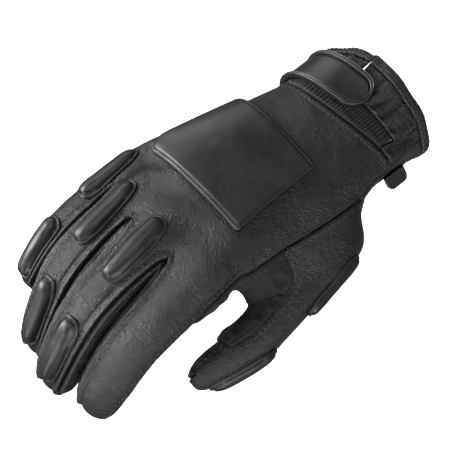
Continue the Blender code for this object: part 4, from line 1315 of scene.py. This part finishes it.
class GLOVE_OT_back_pad(bpy.types.Operator):
    """Seats the large smooth pad on the back of the hand"""

    bl_idname = "glove.back_pad"
    bl_label = "Back pad"

    def execute(self, context):
        tree = form().plain_tree
        rows, columns = BACK_SEATS
        seats, ways = np.empty((rows, columns, 3)), np.empty((rows, columns, 3))
        near, far = BACK_PAD
        for r in range(rows):
            share = r / (rows - 1)
            y = WRIST_Y - lerp(near["along"], far["along"], share) * HAND_LENGTH
            side_a = lerp(near["thumb_side"], far["thumb_side"], share)
            side_b = lerp(near["little_side"], far["little_side"], share)
            walls = [wall(tree, y, angle)[0] for angle in np.linspace(side_a, side_b, WALL_STEPS)]
            for c, spot in enumerate(evenly(walls, columns)):
                seats[r, c] = spot
                ways[r, c] = (tree.find_nearest(spot)[1] + (spot - hand_axis(y)).normalized()).normalized()
        half_length = (far["along"] - near["along"]) * HAND_LENGTH / 2
        half_width = np.linalg.norm(np.diff(seats[rows // 2], axis=0), axis=1).sum() / 2
        share = np.linspace(-1, 1, BACK_PAD_PLACES)
        share = np.sign(share) * (1 - (1 - np.abs(share)) ** 1.4)
        u, v = np.meshgrid(share, share, indexing="ij")
        inset = np.minimum((1 - np.abs(u)) * half_length, (1 - np.abs(v)) * half_width)
        crown = (1 - u ** 2) * (1 - v ** 2)
        placed = corner_rounded(u, v, BACK_PAD_CORNER / half_length, BACK_PAD_CORNER / half_width)
        rounded = 0.35 + 0.65 * np.sqrt(np.clip(inset / BACK_PAD_ROUND, 0, 1))
        flange = BACK_PAD_FLANGE * BACK_PAD_HEIGHT * rounded
        rise = np.clip((inset - BACK_PAD_LINE) / BACK_PAD_RISE, 0, 1)
        body = (1 - BACK_PAD_FLANGE) * BACK_PAD_HEIGHT * np.sqrt(1 - (1 - rise) ** 2)
        sewn = BACK_PAD_GROOVE * falloff(inset, BACK_PAD_LINE, 0.35 * MM)
        thick = flange + body + BACK_PAD_CROWN * crown - sewn
        low, way = sampled(seats, *placed), unit(sampled(ways, *placed))
        low = low + way * SEAT_GAP
        # Painted highlight along the pad's edge and beside its sewn line
        painted_sheen = 0.45 * falloff(inset, 1.0 * MM, 0.9 * MM) + 0.25 * falloff(inset, 3.4 * MM, 0.8 * MM)
        made = slab(
            "back_pad_stuffed", low, low + way * thick[..., None], smooth_leather(),
            ("back_pad",), np.clip(painted_sheen, 0, 1),
        )
        return {"FINISHED"}


class GLOVE_OT_finger_pads(bpy.types.Operator):
    """Seats the padded ovals on the knuckles and the fingers"""

    bl_idname = "glove.finger_pads"
    bl_label = "Finger pads"

    def execute(self, context):
        names = [finger["name"] for finger in FINGERS]
        for pad in FINGER_PADS:
            k = names.index(pad["finger"])
            line_pad(pad, form().fingers[k], FINGERS[k]["length"], PAD_HEIGHT, FINGER_DEPTH)
        return {"FINISHED"}


class GLOVE_OT_thumb_pads(bpy.types.Operator):
    """Seats the two padded ovals on the thumb"""

    bl_idname = "glove.thumb_pads"
    bl_label = "Thumb pads"

    def execute(self, context):
        for pad in THUMB_PADS:
            line_pad(pad, form().thumb, THUMB_LENGTH, THUMB_PAD_HEIGHT, 1.4 * THUMB_DEPTH)
        return {"FINISHED"}


def eased(lift):
    """The heights with their hollows filled, as stiff leather lies across them."""
    rows, columns = lift.shape
    for _ in range(4):
        padded = np.pad(lift, 1, mode="edge")
        mean = sum(padded[r:r + rows, c:c + columns] for r in range(3) for c in range(3)) / 9
        lift = np.maximum(lift, mean)
    return lift


def strap_strip(name, places, thick, painted_sheen):
    """A strip of the strap through rows of places along and across it, laid clear of the cuff's folds."""
    shape = form()
    skew = math.radians(STRAP_SKEW)
    radius = (MOUTH_WIDTH + MOUTH_DEPTH) / 4
    lift = np.empty(places.shape[:2])
    middles, ways = np.empty((*lift.shape, 3)), np.empty((*lift.shape, 3))
    for r, c in np.ndindex(lift.shape):
        u, v = places[r, c]
        turned = (u * math.cos(skew) - v * math.sin(skew)) / radius
        angle = STRAP_ROOT_ANGLE - math.degrees(turned)
        y = STRAP_ROOT_Y + u * math.sin(skew) + v * math.cos(skew)
        smooth, way = wall(shape.plain_tree, y, angle)
        folded, _ = wall(shape.tree, y, angle)
        middle = hand_axis(y)
        lift[r, c] = max((smooth - middle).length + STRAP_GAP, (folded - middle).length + 0.5 * MM)
        middles[r, c], ways[r, c] = middle, way
    low = middles + ways * eased(lift)[..., None]
    return slab(
        f"{name}_cut", low, low + ways * thick[..., None], smooth_leather(), (name,), painted_sheen
    )


class GLOVE_OT_wrist_strap(bpy.types.Operator):
    """Lays the strap and its folded edging across the back of the cuff"""

    bl_idname = "glove.wrist_strap"
    bl_label = "Wrist strap"

    def execute(self, context):
        outer = STRAP_WIDTH / 2
        inner = outer - BINDING_WIDTH
        centre = STRAP_LENGTH - outer
        turn = np.radians(np.linspace(0, 87, STRAP_TURN))
        body = inner - SEAM_GAP
        straight = np.linspace(0, centre, STRAP_PLACES[0])[:-1]
        rows = [(u, body) for u in straight]
        rows += [(centre + body * math.sin(t), body * math.cos(t)) for t in turn]
        across = np.linspace(-1, 1, STRAP_PLACES[1])
        places = np.array([[(u, v * half) for v in across] for u, half in rows])
        edge = np.clip((1 - np.abs(across)) * body / (1.2 * MM), 0, 1)
        thick = np.tile(STRAP_LEATHER * (0.75 + 0.25 * np.sqrt(edge)), (len(rows), 1))
        strap_strip("wrist_strap", places, thick, np.zeros_like(thick))
        width = np.linspace(inner, outer, EDGING_PLACES)
        sides = [[(u, -w) for w in width] for u in straight]
        sides += [[(centre + w * math.cos(a), w * math.sin(a)) for w in width]
                  for a in np.radians(np.linspace(-90, 90, EDGING_TURN))]
        sides += [[(u, w) for w in width] for u in straight[::-1]]
        # The edging's ridge shapes it and also marks a painted highlight along its top
        ridge = np.abs(np.sin(2 * math.pi * np.linspace(0, 1, EDGING_PLACES))) ** 0.7
        thick = np.tile(BINDING_HEIGHT * (0.52 + 0.48 * ridge), (len(sides), 1))
        strap_strip("strap_binding", np.array(sides), thick, np.tile(ridge, (len(sides), 1)))
        return {"FINISHED"}


class GLOVE_OT_pull_tab(bpy.types.Operator):
    """Makes the short tab on the cuff's thumb side"""

    bl_idname = "glove.pull_tab"
    bl_label = "Pull tab"

    def execute(self, context):
        tree = form().tree
        u, v = np.meshgrid(np.linspace(0, 1, 23), np.linspace(-1, 1, 27), indexing="ij")
        narrow = 1 - 0.20 * np.clip((u - 0.55) / 0.45, 0, 1) ** 2
        middle, way = np.empty((*u.shape, 3)), np.array(TAB_WAY)
        for r, c in np.ndindex(u.shape):
            y = TAB_Y + float(v[r, c] * narrow[r, c]) * TAB_WIDTH / 2
            spot, out = wall(tree, y, TAB_ANGLE)
            shorter = 1 - 0.14 * abs(float(v[r, c])) ** 4
            root = spot + out * (TAB_LEATHER / 2 + TAB_GAP)
            middle[r, c] = root + TAB_WAY * float(u[r, c] * shorter * TAB_LENGTH)
        inset = np.minimum((1 - u) * TAB_LENGTH, (1 - np.abs(v)) * TAB_WIDTH / 2)
        half = TAB_LEATHER / 2 * (0.5 + 0.5 * np.sqrt(np.clip(inset / (0.9 * MM), 0, 1)))
        half = half - 0.25 * MM * falloff(inset, 2.2 * MM, 0.35 * MM)
        face = np.array(TAB_FACE)
        # The tab's edge gets a painted highlight
        slab(
            "pull_tab_cut", middle - face * half[..., None], middle + face * half[..., None],
            grained_leather(), ("pull_tab",), 0.7 * falloff(inset, 0.4 * MM, 0.8 * MM),
        )
        return {"FINISHED"}


def seam_loops(chosen):
    """The closed loops of points round these faces of the glove's surface."""
    following = dict(map(tuple, rim_edges(form().quads[chosen]).tolist()))
    loops = []
    while following:
        start, at = following.popitem()
        loop = [start, at]
        while at in following:
            at = following.pop(at)
            loop.append(at)
        loops.append(loop)
    return loops


def stitch_places(chosen, inset, rise):
    """Where stitches lie beside the edge of these faces: places, ways along and ways out."""
    shape, pitch = form(), sizes().stitch_pitch
    found = []
    for loop in seam_loops(chosen):
        points, normals = shape.points[loop], shape.normals[loop]
        steps = np.r_[0.0, np.linalg.norm(np.diff(points, axis=0), axis=1).cumsum()]
        if steps[-1] < 4 * pitch:
            continue
        at = np.arange(pitch, steps[-1] - pitch, pitch)
        spots, before, after, outs = (
            np.stack([np.interp(at + shift, steps, rows[:, k]) for k in range(3)], 1)
            for shift, rows in ((0, points), (-pitch / 3, points), (pitch / 3, points), (0, normals))
        )
        along, outs = unit(after - before), unit(outs)
        for spot, way, out in zip(spots + np.cross(outs, along) * inset, along, outs):
            place, normal, _, gap = shape.tree.find_nearest(Vector(spot))
            if gap < 2 * MM and normal.dot(Vector(out)) > 0.5:
                found.append((np.array(place) + np.array(normal) * rise, way, np.array(normal)))
    return found


class GLOVE_OT_stitching(bpy.types.Operator):
    """Runs the rows of stitches beside the seams"""

    bl_idname = "glove.stitching"
    bl_label = "Stitching"

    def execute(self, context):
        shape, chosen = form(), sizes()
        lifted = PATCH_GAP + PATCH_LEATHER
        found = []
        for name in ("back_panel", "thumb_back"):
            found += stitch_places(panel_faces(name) & ~shape.patched, chosen.stitch_inset, 0.0)
        found += stitch_places(panel_faces("cuff_hem"), 0.8 * MM, (HEM_LEATHER - LEATHER) / 2)
        found += stitch_places(shape.patched, chosen.stitch_inset, lifted)
        sides = np.radians(np.arange(0, 360, 60))
        rings = ((-1.0, 0.35), (-0.6, 1.0), (0.6, 1.0), (1.0, 0.35))
        template = np.array([
            (x * chosen.stitch_length / 2, size * chosen.stitch_width / 2 * math.cos(a),
             size * chosen.stitch_width / 2 * math.sin(a))
            for x, size in rings for a in sides
        ])
        count = len(sides)
        pattern = [
            (a + k, a + (k + 1) % count, a + count + (k + 1) % count, a + count + k)
            for a in range(0, (len(rings) - 1) * count, count) for k in range(count)
        ]
        pattern += [tuple(reversed(range(count))), tuple(range(3 * count, 4 * count))]
        points, faces = [], []
        for place, way, out in found:
            across = unit(np.cross(out, way))
            way = np.cross(across, out)
            start = len(points) * len(template)
            points.append(place + template @ np.array([way, across, out]))
            faces += [tuple(i + start for i in face) for face in pattern]
        piece("seam_stitches", np.concatenate(points), faces, waxed_thread())
        return {"FINISHED"}


def view_axes():
    """The camera's right, its up and its way back from the glove."""
    azimuth, elevation, roll = (math.radians(v) for v in (VIEW_AZIMUTH, VIEW_ELEVATION, VIEW_ROLL))
    back = Vector((
        math.sin(azimuth) * math.cos(elevation),
        -math.cos(azimuth) * math.cos(elevation),
        math.sin(elevation),
    ))
    right = Vector((math.cos(azimuth), math.sin(azimuth), 0.0))
    up = back.cross(right)
    turned = right * math.cos(roll) + up * math.sin(roll)
    return turned, up * math.cos(roll) - right * math.sin(roll), back


# The studio's lights, placed from the glove along the camera's right, up and back, in metres.
LIGHTS = (
    {"name": "key", "right": -0.82, "up": 0.25, "back": 0.28, "side": 0.50, "power": 16.0},
    {"name": "low_left", "right": -0.60, "up": -0.60, "back": 0.40, "side": 0.45, "power": 4.6},
    {"name": "front", "right": 0.00, "up": 0.15, "back": 0.90, "side": 0.45, "power": 2.0},
    {"name": "top", "right": -0.35, "up": 0.85, "back": 0.10, "side": 0.45, "power": 2.6},
    {"name": "edge", "right": 0.35, "up": -0.72, "back": 0.42, "side": 0.50, "power": 5.0},
)


class GLOVE_OT_studio(bpy.types.Operator):
    """Sets up the pale floor, the soft lights and the camera"""

    bl_idname = "glove.studio"
    bl_label = "Studio"

    def execute(self, context):
        scene = context.scene
        scene.view_settings.view_transform = "Standard"
        right, up, back = view_axes()
        data = bpy.data.cameras.new("camera")
        data.lens = VIEW_LENS
        camera = bpy.data.objects.new("camera", data)
        scene.collection.objects.link(camera)
        spot = VIEW_CENTRE + back * VIEW_DISTANCE + right * VIEW_ASIDE - up * VIEW_DOWN
        camera.matrix_world = Matrix.Translation(spot) @ Matrix((right, up, back)).transposed().to_4x4()
        scene.camera = camera
        for row in LIGHTS:
            lamp = bpy.data.lights.new(row["name"], "AREA")
            lamp.size = row["side"]
            lamp.energy = row["power"]
            light = bpy.data.objects.new(row["name"], lamp)
            light.location = VIEW_CENTRE + right * row["right"] + up * row["up"] + back * row["back"]
            light.rotation_euler = (VIEW_CENTRE - light.location).to_track_quat("-Z", "Y").to_euler()
            scene.collection.objects.link(light)
        self.lay_floor(scene)
        self.light_room(scene)
        return {"FINISHED"}

    def lay_floor(self, scene):
        half = FLOOR_SIDE / 2
        mesh = bpy.data.meshes.new("floor")
        corners = [(-half, -half, 0), (half, -half, 0), (half, half, 0), (-half, half, 0)]
        mesh.from_pydata(corners, [], [(0, 1, 2, 3)])
        paper = bpy.data.materials.new("floor_paper")
        paper.use_nodes = True
        shader = paper.node_tree.nodes["Principled BSDF"]
        shader.inputs["Base Color"].default_value = (*colours().floor, 1)
        shader.inputs["Roughness"].default_value = 0.9
        shader.inputs["Emission Color"].default_value = (1, 1, 1, 1)
        shader.inputs["Emission Strength"].default_value = 1.0
        mesh.materials.append(paper)
        floor = bpy.data.objects.new("floor", mesh)
        floor.location.z = CAD_BOX[0][2] - FLOOR_DROP
        floor.visible_diffuse = False
        floor.visible_glossy = False
        scene.collection.objects.link(floor)

    def light_room(self, scene):
        room = bpy.data.worlds.new("room")
        room.use_nodes = True
        shader = room.node_tree.nodes["Background"]
        shader.inputs["Color"].default_value = (1, 1, 1, 1)
        shader.inputs["Strength"].default_value = 0.20
        scene.world = room


OPERATORS = (
    GLOVE_OT_studio, GLOVE_OT_leather_panels, GLOVE_OT_palm_patch, GLOVE_OT_wrist_elastic,
    GLOVE_OT_back_pad, GLOVE_OT_finger_pads, GLOVE_OT_thumb_pads, GLOVE_OT_wrist_strap,
    GLOVE_OT_pull_tab, GLOVE_OT_stitching,
)


class GLOVE_PT_maker(bpy.types.Panel):
    """The glove's sizes, colours and steps"""

    bl_label = "Glove"
    bl_idname = "GLOVE_PT_maker"
    bl_space_type = "VIEW_3D"
    bl_region_type = "UI"
    bl_category = "Glove"

    def draw(self, context):
        for group in (context.scene.glove_sizes, context.scene.glove_colours):
            for name in group.__annotations__:
                self.layout.prop(group, name)
        for operator in OPERATORS:
            self.layout.operator(operator.bl_idname)


CLASSES = (GloveSizes, GloveColours, *OPERATORS, GLOVE_PT_maker)


def register():
    for each in CLASSES:
        bpy.utils.register_class(each)
    bpy.types.Scene.glove_sizes = bpy.props.PointerProperty(type=GloveSizes)
    bpy.types.Scene.glove_colours = bpy.props.PointerProperty(type=GloveColours)


def unregister():
    del bpy.types.Scene.glove_sizes
    del bpy.types.Scene.glove_colours
    for each in reversed(CLASSES):
        bpy.utils.unregister_class(each)


def main():
    register()
    for operator in OPERATORS:
        step = operator.bl_idname.split(".")[1]
        getattr(bpy.ops.glove, step)()


if __name__ == "__main__":
    main()
